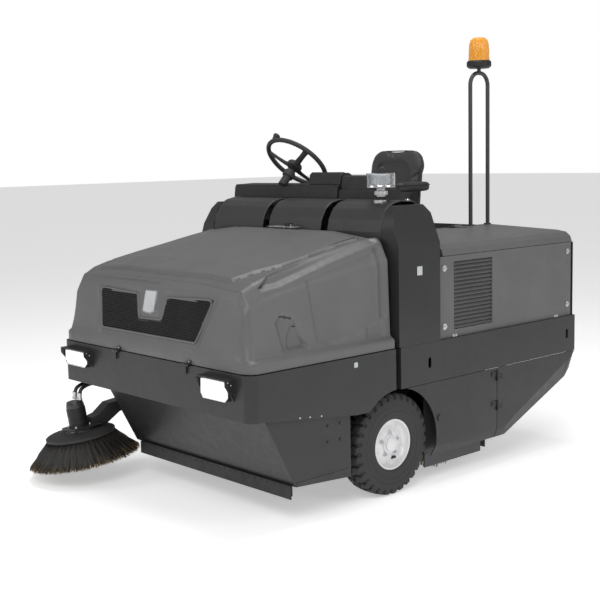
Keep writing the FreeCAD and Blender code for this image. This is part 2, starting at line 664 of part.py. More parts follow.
def seat_armrest():
    body = rounded_box(ARMREST_X0, ARMREST_X1, ARMREST_PIVOT.y - ARMREST_LENGTH + 24, ARMREST_PIVOT.y + 24,
                       ARMREST_PIVOT.z - 28, ARMREST_PIVOT.z + 30, 14)
    hole = rod(V(ARMREST_X0 - 1, ARMREST_PIVOT.y, ARMREST_PIVOT.z), V(ARMREST_X1 - 6, ARMREST_PIVOT.y, ARMREST_PIVOT.z),
               ARMREST_PIN + RUNNING_FIT)
    return body.cut(hole)


def raked(shape):
    """Moves a shape modelled flat at the origin to the steering wheel's place and rake."""
    copy = shape.copy()
    copy.rotate(V(0, 0, 0), ALONG_X, -WHEEL_TILT)
    copy.translate(WHEEL_CENTRE)
    return copy


HUB_DROP = 45.0
SPINNER_ANGLE = 255.0
SPINNER_PIN_RADIUS = 5.0


def spinner_place():
    angle = math.radians(SPINNER_ANGLE)
    return V(WHEEL_RADIUS * math.cos(angle), WHEEL_RADIUS * math.sin(angle), 0)


def steering_wheel():
    rim = Part.makeTorus(WHEEL_RADIUS, WHEEL_GRIP)
    hub = turned([(0, -HUB_DROP - 14), (34, -HUB_DROP - 14), (40, -HUB_DROP), (34, -HUB_DROP + 14), (0, -HUB_DROP + 18)],
                 V(0, 0, 0))
    spokes = []
    for angle in (90, 210, 330):
        spoke = prism_x([(18, -HUB_DROP - 7), (WHEEL_RADIUS - 50, -HUB_DROP + 8), (WHEEL_RADIUS, -5),
                         (WHEEL_RADIUS, 5), (WHEEL_RADIUS - 56, -HUB_DROP + 17), (18, -HUB_DROP + 5)], -11, 11)
        spoke.rotate(V(0, 0, 0), UP, angle - 90)
        spokes.append(spoke)
    place = spinner_place()
    post = Part.makeCylinder(SPINNER_PIN_RADIUS, 40, V(place.x, place.y, 8))
    body = rim.fuse([hub] + spokes + [post])
    return raked(body)


def spinner_knob():
    place = spinner_place()
    base = WHEEL_GRIP + FACE_GAP
    profile = [(0, base), (14, base), (12, base + 10), (19, base + 22), (19, base + 34), (12, base + 42), (0, base + 42)]
    knob = turned(profile, V(place.x, place.y, 0))
    hole = Part.makeCylinder(SPINNER_PIN_RADIUS + RUNNING_FIT, 48.3 - base + 1, V(place.x, place.y, base - 1))
    return raked(knob.cut(hole))


def steering_column():
    top = -HUB_DROP - 14 - 0.5
    tube = Part.makeCylinder(COLUMN_RADIUS, 96, V(0, 0, top - 96))
    collar = turned([(0, top - 40), (30, top - 40), (30, top - 12), (22, top), (0, top)], V(0, 0, 0))
    under_dash = prism_x([(100, 900), (100, DASH_TOP_Z - 5), (DASH_FRONT_Y, DASH_TOP_Z), (345, DASH_TOP_Z + 4), (345, 900)],
                         DASH_RIGHT_X, DASH_LEFT_X)
    return raked(tube.fuse(collar)).cut(under_dash)


def pedal(x, width):
    """Pad on an arm that turns about a pin across the floor."""
    arm = prism_x([(PEDAL_Y - 10, PEDAL_PIVOT_Z - 4), (PEDAL_Y + 10, PEDAL_PIVOT_Z - 4), (PEDAL_Y + 14, PEDAL_PIVOT_Z + 14),
                   (PEDAL_Y - 20, PEDAL_PIVOT_Z + 92), (PEDAL_Y - 44, PEDAL_PIVOT_Z + 84)], x - 12, x + 12)
    pad = prism_x([(PEDAL_Y - 48, PEDAL_PIVOT_Z + 96), (PEDAL_Y + 8, PEDAL_PIVOT_Z + 34), (PEDAL_Y + 18, PEDAL_PIVOT_Z + 40),
                   (PEDAL_Y - 40, PEDAL_PIVOT_Z + 108)], x - width / 2, x + width / 2)
    hole = rod(V(x - 13, PEDAL_Y, PEDAL_PIVOT_Z + 4), V(x + 13, PEDAL_Y, PEDAL_PIVOT_Z + 4), PEDAL_PIN + RUNNING_FIT)
    return arm.fuse(pad).cut(hole)


PEDAL_PIN = 5.0


def pedal_brackets():
    parts = []
    for x in (DRIVE_PEDAL_X, BRAKE_PEDAL_X):
        for side in (-1, 1):
            inner = x + side * 13
            parts.append(box(min(inner, inner + side * 5), max(inner, inner + side * 5), PEDAL_Y - 12, PEDAL_Y + 12,
                             FLOOR_Z + 7, PEDAL_PIVOT_Z + 14))
        parts.append(rod(V(x - 18, PEDAL_Y, PEDAL_PIVOT_Z + 4), V(x + 18, PEDAL_Y, PEDAL_PIVOT_Z + 4), PEDAL_PIN))
    return parts


LEVER_PIN = 5.0
CONTROL_LEVER = V(385.0, 275.0, ARCH_TOP_Z + 56.0)
PARKING_LEVER = V(SEAT_X + 240.0, SEAT_BOX_FRONT_Y + 105.0, SEAT_BOX_TOP_Z + 30.0)


def lever(pivot, height, lean, knob_radius, x0, x1):
    """A stem with a round knob on a boss that turns on a pin along X."""
    boss = rod(V(x0, pivot.y, pivot.z), V(x1, pivot.y, pivot.z), 11)
    axis = V(0, -math.sin(math.radians(lean)), math.cos(math.radians(lean)))
    middle = (x0 + x1) / 2
    foot = V(middle, pivot.y, pivot.z)
    stem = placed(Part.makeCylinder(4.5, height), foot, axis)
    knob = Part.makeSphere(knob_radius, foot.add(V(axis).multiply(height)))
    hole = rod(V(x0 - 1, pivot.y, pivot.z), V(x1 + 1, pivot.y, pivot.z), LEVER_PIN + RUNNING_FIT)
    return boss.fuse([stem, knob]).cut(hole)


def control_lever():
    return lever(CONTROL_LEVER, 80, 12, 13, CONTROL_LEVER.x - 8, CONTROL_LEVER.x + 8)


def control_lever_ears():
    parts = []
    for x in (CONTROL_LEVER.x - 16, CONTROL_LEVER.x + 10):
        parts.append(box(x, x + 6, CONTROL_LEVER.y - 12, CONTROL_LEVER.y + 12, CONSOLE_TOP_Z - 4, CONTROL_LEVER.z + 12))
    parts.append(rod(V(CONTROL_LEVER.x - 16, CONTROL_LEVER.y, CONTROL_LEVER.z),
                     V(CONTROL_LEVER.x + 16, CONTROL_LEVER.y, CONTROL_LEVER.z), LEVER_PIN))
    return parts


def parking_lever():
    return lever(PARKING_LEVER, 318, 3, 17, PARKING_LEVER.x - 8, PARKING_LEVER.x + 8)


def parking_lever_pin():
    return rod(V(SEAT_X + 220, PARKING_LEVER.y, PARKING_LEVER.z), V(SEAT_X + 252, PARKING_LEVER.y, PARKING_LEVER.z),
               LEVER_PIN)


# ---- engine bay ------------------------------------------------------------------------------------
PANEL_X = 695.0
PANEL_FRONT_Y = 305.0
PANEL_REAR_Y = 1345.0
LOUVRE_Y0 = 404.0
LOUVRE_Y1 = 690.0
LOUVRE_Z0 = 712.0
LOUVRE_Z1 = 1030.0
LOUVRES = 17
LOCK_PLACES = ((334.0, 1004.0), (334.0, 733.0), (1311.0, 1012.0), (1311.0, 736.0))
LOCK_RADIUS = 15.0
LOCK_PIN = 4.0


def louvre_panel():
    x0 = PANEL_X - SKIN
    panel = box(x0, PANEL_X, PANEL_FRONT_Y, PANEL_REAR_Y, SKIRT_TOP_Z, LID_SEAM_Z - SEAM)
    panel = panel.cut(box(x0 - 1, PANEL_X + 1, LOUVRE_Y0, LOUVRE_Y1, LOUVRE_Z0, LOUVRE_Z1))
    slats = []
    pitch = (LOUVRE_Z1 - LOUVRE_Z0) / LOUVRES
    for number in range(LOUVRES):
        z = LOUVRE_Z0 + pitch * number
        slats.append(prism_y([(x0 - 12, z + pitch - 3), (x0 - 9, z + pitch), (PANEL_X - 1, z + 5), (PANEL_X - 4, z + 2)],
                             LOUVRE_Y0, LOUVRE_Y1))
    frame = box(x0 - 12, x0, LOUVRE_Y0 - 12, LOUVRE_Y1 + 12, LOUVRE_Z0 - 12, LOUVRE_Z1 + 12)
    frame = frame.cut(box(x0 - 13, x0 + 1, LOUVRE_Y0, LOUVRE_Y1, LOUVRE_Z0, LOUVRE_Z1))
    body = panel.fuse(frame)
    for y, z in LOCK_PLACES:
        body = body.cut(rod(V(x0 - 1, y, z), V(PANEL_X + 1, y, z), LOCK_PIN + RUNNING_FIT))
    return group([body] + slats)


def panel_lock(y, z):
    """Quarter-turn fastener: a slotted head on a stud through the panel."""
    head = rod(V(PANEL_X + FACE_GAP, y, z), V(PANEL_X + 4, y, z), LOCK_RADIUS)
    wing = box(PANEL_X + 3, PANEL_X + 9, y - LOCK_RADIUS + 2, y + LOCK_RADIUS - 2, z - 2.5, z + 2.5)
    stud = rod(V(PANEL_X - SKIN - 8, y, z), V(PANEL_X + 2, y, z), LOCK_PIN)
    cam = box(PANEL_X - SKIN - 8, PANEL_X - SKIN - 4, y - 6, y + 6, z - 12, z + 12)
    return head.fuse([wing, stud, cam])


LID_INNER_X = INNER_WALL_X + 26.0
LID_FRONT_Y = 331.0
LID_REAR_Y = 1357.0
LID_HINGE_X = LID_INNER_X - 2
LID_HINGE_RADIUS = 7.0


def engine_lid():
    """Crowned lid with a rolled left edge; it turns about its inner top edge."""
    outer_points = [(LID_INNER_X, LID_TOP_Z), (600, LID_SHOULDER_Z + 2), (655, LID_SHOULDER_Z - 6), (682, LID_SHOULDER_Z - 26),
                    (692, LID_SHOULDER_Z - 52), (692, LID_SEAM_Z), (LID_INNER_X, LID_SEAM_Z)]
    wall = COVER_WALL
    inner_points = [(LID_INNER_X + wall, LID_TOP_Z - wall), (600, LID_SHOULDER_Z + 2 - wall),
                    (652, LID_SHOULDER_Z - 7 - wall), (677, LID_SHOULDER_Z - 29), (686, LID_SHOULDER_Z - 54),
                    (686, LID_SEAM_Z - 1), (LID_INNER_X + wall, LID_SEAM_Z - 1)]
    outer = prism_y(outer_points, LID_FRONT_Y, LID_REAR_Y)
    inner = prism_y(inner_points, LID_FRONT_Y + wall, LID_REAR_Y - wall)
    lid = outer.cut(inner)
    knuckles = []
    for y in (LID_FRONT_Y + 90, LID_REAR_Y - 330):
        knuckle = rod(V(LID_HINGE_X, y, LID_TOP_Z + 7), V(LID_HINGE_X, y + 60, LID_TOP_Z + 7), LID_HINGE_RADIUS)
        leaf = prism_y([(LID_HINGE_X, LID_TOP_Z), (LID_HINGE_X + 44, LID_TOP_Z - 2), (LID_HINGE_X + 44, LID_TOP_Z + 3),
                        (LID_HINGE_X, LID_TOP_Z + 6)], y, y + 60)
        hole = rod(V(LID_HINGE_X, y - 1, LID_TOP_Z + 7), V(LID_HINGE_X, y + 61, LID_TOP_Z + 7),
                   HINGE_PIN_RADIUS + RUNNING_FIT)
        knuckles.append(knuckle.fuse(leaf).cut(outer).cut(hole))
    return group([lid] + knuckles)


def lid_hinge_pins():
    """Fixed halves of the lid hinges, with their pins."""
    parts = []
    for y in (LID_FRONT_Y + 90, LID_REAR_Y - 330):
        for start in (y - 26, y + 60.5):
            parts.append(rod(V(LID_HINGE_X, start, LID_TOP_Z + 7), V(LID_HINGE_X, start + 25.5, LID_TOP_Z + 7), LID_HINGE_RADIUS))
            parts.append(box(LID_HINGE_X - 30, LID_HINGE_X, start, start + 25.5, LID_TOP_Z, LID_TOP_Z + 5))
        parts.append(rod(V(LID_HINGE_X, y - 26, LID_TOP_Z + 7), V(LID_HINGE_X, y + 86, LID_TOP_Z + 7), HINGE_PIN_RADIUS))
    return parts


def engine_block():
    base = RAIL_LOW_Z + RAIL_HEIGHT
    sump = box(260, 560, 700, 1200, base, base + 120)
    block = box(290, 530, 720, 1120, base + 120, base + 330)
    head = box(310, 510, 740, 1100, base + 330, base + 400)
    flywheel = rod(V(410, 660, base + 170), V(410, 700, base + 170), 130)
    filters = [rod(V(530, 820 + 130 * n, base + 200), V(600, 820 + 130 * n, base + 200), 40) for n in range(2)]
    radiator = box(230, 620, 1262, 1312, base, base + 400)
    mounts = box(250, 600, 1200, 1262, base + 20, base + 60)
    return sump.fuse([block, head, flywheel, radiator, mounts] + filters)


# ---- beacon ----------------------------------------------------------------------------------------
def beacon_mast():
    arc = (MAST_REAR_Y - MAST_FRONT_Y) / 2 - 1
    points = [V(MAST_X, MAST_FRONT_Y, LID_TOP_Z + 6), V(MAST_X, MAST_FRONT_Y, MAST_TOP_Z - MAST_RADIUS),
              V(MAST_X, MAST_REAR_Y, MAST_TOP_Z - MAST_RADIUS), V(MAST_X, MAST_REAR_Y, LID_TOP_Z + 6)]
    tube = ring(points, arc * 0.9, MAST_RADIUS)
    feet = [Part.makeCylinder(20, 6, V(MAST_X, y, LID_TOP_Z)) for y in (MAST_FRONT_Y, MAST_REAR_Y - 2)]
    stud = Part.makeCylinder(10, 20, V(MAST_X, (MAST_FRONT_Y + MAST_REAR_Y) / 2, MAST_TOP_Z - 6))
    return tube.fuse(feet + [stud])


BEACON_BASE_Z = MAST_TOP_Z + 14.0
BEACON_Y = (MAST_FRONT_Y + MAST_REAR_Y) / 2
BEACON_BASE_HEIGHT = 40.0
BEACON_SPINDLE = 5.0
DOME_WALL = 3.0


def beacon_base():
    profile = [(0, 0), (BEACON_RADIUS - 12, 0), (BEACON_RADIUS, 10), (BEACON_RADIUS, BEACON_BASE_HEIGHT - 8),
               (BEACON_RADIUS - 5, BEACON_BASE_HEIGHT), (0, BEACON_BASE_HEIGHT)]
    body = turned(profile, V(MAST_X, BEACON_Y, BEACON_BASE_Z))
    spindle = Part.makeCylinder(BEACON_SPINDLE, 50, V(MAST_X, BEACON_Y, BEACON_BASE_Z + BEACON_BASE_HEIGHT - 1))
    bulb = Part.makeCylinder(9, 26, V(MAST_X, BEACON_Y, BEACON_BASE_Z + BEACON_BASE_HEIGHT + 49))
    return body.fuse([spindle, bulb])


def dome_profile(radius, top):
    z0 = BEACON_BASE_Z + BEACON_BASE_HEIGHT
    return [(radius, z0), (radius - 2, top - 22), (radius - 12, top - 7), (radius - 28, top)]


def beacon_dome():
    outer = dome_profile(DOME_RADIUS, BEACON_TOP_Z)
    inner = dome_profile(DOME_RADIUS - DOME_WALL, BEACON_TOP_Z - DOME_WALL)
    profile = outer + [(0, BEACON_TOP_Z), (0, BEACON_TOP_Z - DOME_WALL)] + inner[::-1]
    return turned(profile, V(MAST_X, BEACON_Y, 0))


def beacon_reflector():
    z0 = BEACON_BASE_Z + BEACON_BASE_HEIGHT + FACE_GAP
    disc = Part.makeCylinder(40, 6, V(MAST_X, BEACON_Y, z0 + 3))
    boss = Part.makeCylinder(12, 12, V(MAST_X, BEACON_Y, z0))
    cup = Part.makeCylinder(40, 60, V(MAST_X, BEACON_Y, z0 + 8))
    cup = cup.cut(Part.makeCylinder(37, 70, V(MAST_X, BEACON_Y, z0 + 7)))
    cup = cup.cut(box(MAST_X - 5, MAST_X + 60, BEACON_Y - 60, BEACON_Y + 60, z0 + 9, z0 + 90))
    hole = Part.makeCylinder(BEACON_SPINDLE + RUNNING_FIT, 90, V(MAST_X, BEACON_Y, z0 - 1))
    return disc.fuse([boss, cup]).cut(hole)


# ---- air intake ------------------------------------------------------------------------------------
INTAKE_BASE_Z = ARCH_TOP_Z
INTAKE_BOWL_Z = 1379.0
INTAKE_LID_Z = 1447.0


def intake_base_z():
    """The arch's top face slopes between its two upper points; this is its height at the intake."""
    return ARCH_TOP_Z - 18 + 18 * (INTAKE_Y - 78) / 62


def air_pipe():
    z0 = intake_base_z() + 4
    pipe = Part.makeCylinder(INTAKE_PIPE_RADIUS, INTAKE_BOWL_Z - z0, V(INTAKE_X, INTAKE_Y, z0))
    grommet = Part.makeCylinder(34, 8, V(INTAKE_X, INTAKE_Y, z0 - 2))
    clamp = Part.makeCylinder(30, 20, V(INTAKE_X, INTAKE_Y, INTAKE_BOWL_Z - 32))
    seat = prism_x([(INTAKE_Y - 40, ARCH_TOP_Z - 30), (INTAKE_Y - 40, intake_base_z() - 40 * 18 / 62),
                    (140, ARCH_TOP_Z), (INTAKE_Y + 40, ARCH_TOP_Z - 1.6), (INTAKE_Y + 40, ARCH_TOP_Z - 30)],
                   INTAKE_X - 50, INTAKE_X + 50)
    skirt = Part.makeCylinder(34, 24, V(INTAKE_X, INTAKE_Y, z0 - 20)).cut(seat)
    return pipe.fuse([clamp, grommet, skirt]).cut(seat)


def air_bowl():
    r = INTAKE_BOWL_RADIUS
    h = INTAKE_LID_Z - INTAKE_BOWL_Z
    profile = [(0, 0), (r - 16, 0), (r - 2, 10), (r, h), (r - 3, h), (r - 5, 12), (r - 18, 3), (0, 3)]
    bowl = turned(profile, V(INTAKE_X, INTAKE_Y, INTAKE_BOWL_Z))
    return bowl


def air_lid():
    r = INTAKE_BOWL_RADIUS
    cap = turned([(0, 0), (r, 0), (r, 5), (r - 8, 10), (20, 14), (0, 14)], V(INTAKE_X, INTAKE_Y, INTAKE_LID_Z))
    nut = box(INTAKE_X - 14, INTAKE_X + 14, INTAKE_Y - 3, INTAKE_Y + 3, INTAKE_LID_Z + 14, INTAKE_LID_Z + 24)
    core = Part.makeCylinder(r - 22, INTAKE_LID_Z - INTAKE_BOWL_Z - 3, V(INTAKE_X, INTAKE_Y, INTAKE_BOWL_Z + 3))
    return cap.fuse([nut, core])


# ---- wheels ----------------------------------------------------------------------------------------
def tyre(radius, rim, width):
    """Tyre turned about Z with its outer side wall on top; round shoulders and a flat tread."""
    w = width
    profile = [(rim, 8), (rim + 6, 0), (rim + 40, 0), (radius - 34, 4), (radius - 8, 16), (radius, 28),
               (radius, w - 28), (radius - 8, w - 16), (radius - 34, w - 4), (rim + 40, w), (rim + 6, w), (rim, w - 8)]
    return turned(profile, V(0, 0, 0))


def rim_disc(rim, width, bore, bolts):
    w = width
    profile = [(bore, w * 0.55), (36, w * 0.55), (58, w * 0.62), (rim - 16, w * 0.62), (rim - 9, w - 8), (rim, w - 8),
               (rim, 8), (rim - 9, 8), (rim - 12, w * 0.55), (62, w * 0.52), (50, w * 0.42), (bore, w * 0.42)]
    disc = turned(profile, V(0, 0, 0))
    hub = turned([(bore, w * 0.3), (42, w * 0.3), (42, w * 0.8), (bore, w * 0.8)], V(0, 0, 0))
    studs = []
    for number in range(bolts):
        angle = 2 * math.pi * number / bolts
        studs.append(Part.makeCylinder(7, 12, V(72 * math.cos(angle), 72 * math.sin(angle), w * 0.61)))
    return disc.fuse([hub] + studs)


def hub_cap(width, bore):
    return turned([(0, 0), (bore + 13, 0), (bore + 9, 12), (0, 14)], V(0, 0, width * 0.8))


def front_wheel_place(shape, side):
    start = side * (WHEEL_OUTER_X - TYRE_WIDTH)
    return placed(shape, V(start, 0, TYRE_RADIUS), V(side, 0, 0))


def front_tyre(side):
    return front_wheel_place(tyre(TYRE_RADIUS, RIM_RADIUS, TYRE_WIDTH), side)


def front_rim(side):
    disc = rim_disc(RIM_RADIUS, TYRE_WIDTH, AXLE_RADIUS + RUNNING_FIT, 5)
    cap = hub_cap(TYRE_WIDTH, AXLE_RADIUS)
    return front_wheel_place(disc.fuse(cap), side)


KINGPIN_RADIUS = 30.0
FORK_LEG_X = REAR_WHEEL_WIDTH / 2 + 14
FORK_LEG = 14.0


def rear_fork():
    y = REAR_WHEEL_Y
    top = SWIVEL_Z - FACE_GAP
    plate = Part.makeCylinder(SWIVEL_RADIUS, 20, V(0, y, top - 20))
    kingpin = Part.makeCylinder(KINGPIN_RADIUS, 46, V(0, y, top - 1))
    parts = [plate, kingpin]
    for side in (-1, 1):
        inner = side * FORK_LEG_X
        outer = side * (FORK_LEG_X + FORK_LEG)
        parts.append(prism_x([(y - 45, REAR_WHEEL_RADIUS - 45), (y + 45, REAR_WHEEL_RADIUS - 45), (y + 70, top - 10), (y - 70, top - 10)],
                             min(inner, outer), max(inner, outer)))
    shaft = rod(V(-FORK_LEG_X - FORK_LEG, y, REAR_WHEEL_RADIUS), V(FORK_LEG_X + FORK_LEG, y, REAR_WHEEL_RADIUS),
                REAR_AXLE_RADIUS)
    parts.append(shaft)
    return parts[0].fuse(parts[1:])


def rear_wheel():
    w = REAR_WHEEL_WIDTH
    rubber = tyre(REAR_WHEEL_RADIUS, 100, w)
    disc = rim_disc(100, w, REAR_AXLE_RADIUS + RUNNING_FIT, 5)
    base = V(-w / 2, REAR_WHEEL_Y, REAR_WHEEL_RADIUS)
    return group([placed(rubber, base, ALONG_X), placed(disc, base, ALONG_X)])


# ---- lifting front module --------------------------------------------------------------------------
ARM_EYE = 42.0
LUG_THICKNESS = 14.0
LUG_GAP = 2.0
TIE_SHARE = 0.85          # how far down the arms their cross tube sits


def lift_arms():
    """Two flat arms joined by a cross tube; each turns about its post and carries the hopper."""
    parts = []
    for x in ARM_X:
        x0 = x - ARM_WIDTH / 2
        x1 = x + ARM_WIDTH / 2
        arm = prism_x([(LIFT_Y - 36, LIFT_Z), (LIFT_Y + 36, LIFT_Z), (SHAFT_Y + 34, SHAFT_Z), (SHAFT_Y - 34, SHAFT_Z)], x0, x1)
        boss = ARM_SLOT / 2 + POST_CLEARANCE - FACE_GAP
        top = rod(V(x - boss, LIFT_Y, LIFT_Z), V(x + boss, LIFT_Y, LIFT_Z), ARM_EYE)
        low = rod(V(x0, SHAFT_Y, SHAFT_Z), V(x1, SHAFT_Y, SHAFT_Z), ARM_EYE)
        reach = ARM_WIDTH / 2 + LUG_GAP + LUG_THICKNESS
        pin = rod(V(x - reach, SHAFT_Y, SHAFT_Z), V(x + reach, SHAFT_Y, SHAFT_Z), PIVOT_PIN_RADIUS)
        body = arm.fuse([top, low, pin])
        body = body.cut(rod(V(x - boss - 1, LIFT_Y, LIFT_Z), V(x + boss + 1, LIFT_Y, LIFT_Z), PIVOT_PIN_RADIUS + RUNNING_FIT))
        parts.append(body)
    tie_y = LIFT_Y + (SHAFT_Y - LIFT_Y) * TIE_SHARE
    tie_z = LIFT_Z + (SHAFT_Z - LIFT_Z) * TIE_SHARE
    tie = rod(V(ARM_X[0], tie_y, tie_z), V(ARM_X[1], tie_y, tie_z), 20)
    return parts[0].fuse([parts[1], tie])


def filter_box():
    """Steel filter box under the hood, open to the bin below; its rear lugs hang on the lift arms."""
    y1 = SHAFT_Y - ARM_EYE - 14
    points = [(-700, BIN_TOP_Z), (y1, BIN_TOP_Z), (y1, 960), (-640, 900), (-700, 860)]
    body = hollow_x(points, -560, 560, 4)
    ledge = box(-650, 650, -700, -150, BIN_TOP_Z, BIN_TOP_Z + 6)
    body = body.fuse(ledge).cut(box(-500, 500, -670, y1 - 20, BIN_TOP_Z - 1, BIN_TOP_Z + 10))
    for x in ARM_X:
        for side in (-1, 1):
            inner = x + side * (ARM_WIDTH / 2 + LUG_GAP)
            outer = inner + side * LUG_THICKNESS
            lug = prism_x([(y1 - 6, SHAFT_Z - 50), (SHAFT_Y, SHAFT_Z - 34), (SHAFT_Y + 34, SHAFT_Z), (SHAFT_Y, SHAFT_Z + 34),
                           (y1 - 6, SHAFT_Z + 70)], min(inner, outer), max(inner, outer))
            body = body.fuse(lug)
        body = body.cut(rod(V(x - 60, SHAFT_Y, SHAFT_Z), V(x + 60, SHAFT_Y, SHAFT_Z), PIVOT_PIN_RADIUS + RUNNING_FIT))
    stays = [box(-676, -560, -560, -520, 520, 560), box(560, 676, -560, -520, 520, 560),
             box(-60, 60, FRONT_Y + 6, -700, 520, 560)]
    return body.fuse(stays).cut(bumper_shell())


def bumper_block(inset, z0, z1, extra=0.0):
    x = HALF_WIDTH - inset
    y = FRONT_Y + inset
    body = box(-x, x, y, HOPPER_REAR_Y + extra, z0, z1)
    corners = [e for e in body.Edges if abs(e.Vertexes[0].Point.y - y) < 0.01 and abs(e.Vertexes[-1].Point.y - y) < 0.01
               and abs(e.Vertexes[0].Point.x - e.Vertexes[-1].Point.x) < 0.01]
    return body.makeFillet(BUMPER_CORNER - inset, corners)


def bumper_shell():
    shell = bumper_block(0, 415, BUMPER_TOP_Z).cut(bumper_block(COVER_WALL, 400, BUMPER_TOP_Z + 10, 10))
    low = [(FRONT_Y - 10, 400), (HOPPER_REAR_Y + 10, 400), (HOPPER_REAR_Y + 10, 420), (-256, 420), (-785, 481),
           (FRONT_Y - 10, BUMPER_LOW_Z)]
    shell = shell.cut(prism_x(low, -HALF_WIDTH - 10, HALF_WIDTH + 10))
    shell = shell.cut(side_arch(-HALF_WIDTH - 10, HALF_WIDTH + 10))
    flange = bumper_block(0, BUMPER_TOP_Z - COVER_WALL, BUMPER_TOP_Z)
    flange = flange.cut(box(-640, 640, FRONT_Y + 60, 10, 600, 700))
    return shell.fuse(flange)


LAMP_RIGHT = (-643.0, -452.0, 566.0, 641.0)
LAMP_LEFT = (424.0, 602.0, 559.0, 646.0)
LAMP_DEPTH = 34.0
GUARD_REACH = 46.0


def lamp_guard(place):
    """A shade round a headlamp, open at the front and below."""
    x0, x1, z0, z1 = place
    edge = 9.0
    wall = 5.0
    top = z1 + edge
    shade = box(x0 - edge, x1 + edge, FRONT_Y - GUARD_REACH, FRONT_Y, top - wall, top)
    cheeks = []
    for x in (x0 - edge, x1 + edge - wall):
        cheeks.append(prism_x([(FRONT_Y, top - wall), (FRONT_Y - GUARD_REACH, top - wall), (FRONT_Y - GUARD_REACH, top - 26),
                               (FRONT_Y, z0)], x, x + wall))
    return shade.fuse(cheeks)


def headlamp(place):
    x0, x1, z0, z1 = place
    chamfer = 20.0
    body = prism_y([(x0, z1), (x1, z1), (x1, z0 + chamfer), (x1 - chamfer, z0), (x0 + chamfer, z0), (x0, z0 + chamfer)],
                   FRONT_Y - LAMP_DEPTH, FRONT_Y)
    return body


HOOD_HINGE_XS = (-229.0, 302.0)
HOOD_KNUCKLE = 8.0


def hood_knuckle(x0, x1):
    return rod(V(x0, HOOD_HINGE_Y, HOOD_HINGE_Z), V(x1, HOOD_HINGE_Y, HOOD_HINGE_Z), HOOD_KNUCKLE)


def hopper_bumper():
    parts = [bumper_shell()]
    for place in (LAMP_RIGHT, LAMP_LEFT):
        parts[0] = parts[0].fuse(lamp_guard(place))
    hinges = []
    for x in HOOD_HINGE_XS:
        knuckle = hood_knuckle(x - 24, x)
        leaf = box(x - 24, x, HOOD_HINGE_Y, FRONT_Y, HOOD_HINGE_Z - 40, HOOD_HINGE_Z - 4)
        leaf = leaf.fuse(knuckle)
        pin = rod(V(x - 24, HOOD_HINGE_Y, HOOD_HINGE_Z), V(x + 24, HOOD_HINGE_Y, HOOD_HINGE_Z), HINGE_PIN_RADIUS)
        hinges.append(leaf.fuse(pin))
    return parts[0].fuse(hinges)


def bin_walls(inset):
    """Side view of the hopper bin."""
    t = inset
    return [(-770 + 1.3 * t, BIN_TOP_Z), (-606 + 1.3 * t, 172 + t), (BIN_REAR_Y - t, 150 + t), (BIN_REAR_Y - t, BIN_TOP_Z)]


def hopper_bin():
    """Open-topped bin with a low duct at its rear that faces the main brush."""
    t = SKIN
    outer = prism_x(bin_walls(0), BIN_RIGHT_X, BIN_LEFT_X)
    inner = prism_x([(y, z + (1 if z == BIN_TOP_Z else 0)) for y, z in bin_walls(t)], BIN_RIGHT_X + t, BIN_LEFT_X - t)
    shell = outer.cut(inner)
    duct = DUCT_HALF_WIDTH
    rear = 235.0
    sleeve = prism_x([(BIN_REAR_Y, 150), (rear - 60, 60), (rear, 62), (rear - 20, 300), (BIN_REAR_Y, 360)], -duct, duct)
    hollow = prism_x([(BIN_REAR_Y - 30, 158), (rear - 60, 66), (rear + 10, 68), (rear + 10, 294), (BIN_REAR_Y, 354),
                      (BIN_REAR_Y - 30, 360)], -duct + t, duct - t)
    lip = box(BIN_RIGHT_X + 50, BIN_LEFT_X - 20, -618, -606, 130, 176)
    side_rail = box(BIN_LEFT_X - t, BIN_LEFT_X + 2, -600, -300, 172, 190)
    bolts = [bolt_head(V(BIN_LEFT_X, y, z), ALONG_X, 7, 4) for y in (-415.0, -343.0) for z in (397.0, 327.0)]
    return shell.fuse([sleeve]).cut(hollow).fuse([lip, side_rail] + bolts)


def hood_section(y, half_bottom, half_top, z_top, inset):
    """One cross-section of the hood: a flange at the foot, sides that lean in, a crowned top."""
    i = inset
    z0 = HOOD_SEAM_Z
    z1 = min(z0 + 42, z_top - 12)
    z2 = min(z0 + 56, z_top - 8)
    hip = half_bottom - 26
    height = z_top - z2
    right = [(half_bottom - i, z0), (half_bottom - i, z1 - i), (hip - i, z2 - i * 0.3), (half_top + 20 - i, z2 + height * 0.72 - i),
             (half_top - 30 - i, z_top - height * 0.07 - i), (half_top * 0.5, z_top - i)]
    left = [(-x, z) for x, z in reversed(right)]
    points = [V(x, y, z) for x, z in right + left]
    return Part.makePolygon(points + [points[0]])


HOOD_STATIONS = ((FRONT_Y + 6, 662.0, 560.0, 728.0), (FRONT_Y + 20, 690.0, 600.0, 800.0), (-802.0, 704.0, 612.0, 996.0),
                 (-770.0, 704.0, 622.0, 1040.0), (-620.0, 704.0, 632.0, 1084.0), (-340.0, 704.0, 640.0, 1140.0),
                 (-90.0, 704.0, 646.0, 1186.0), (HOPPER_REAR_Y, 704.0, 646.0, HOOD_TOP_Z))


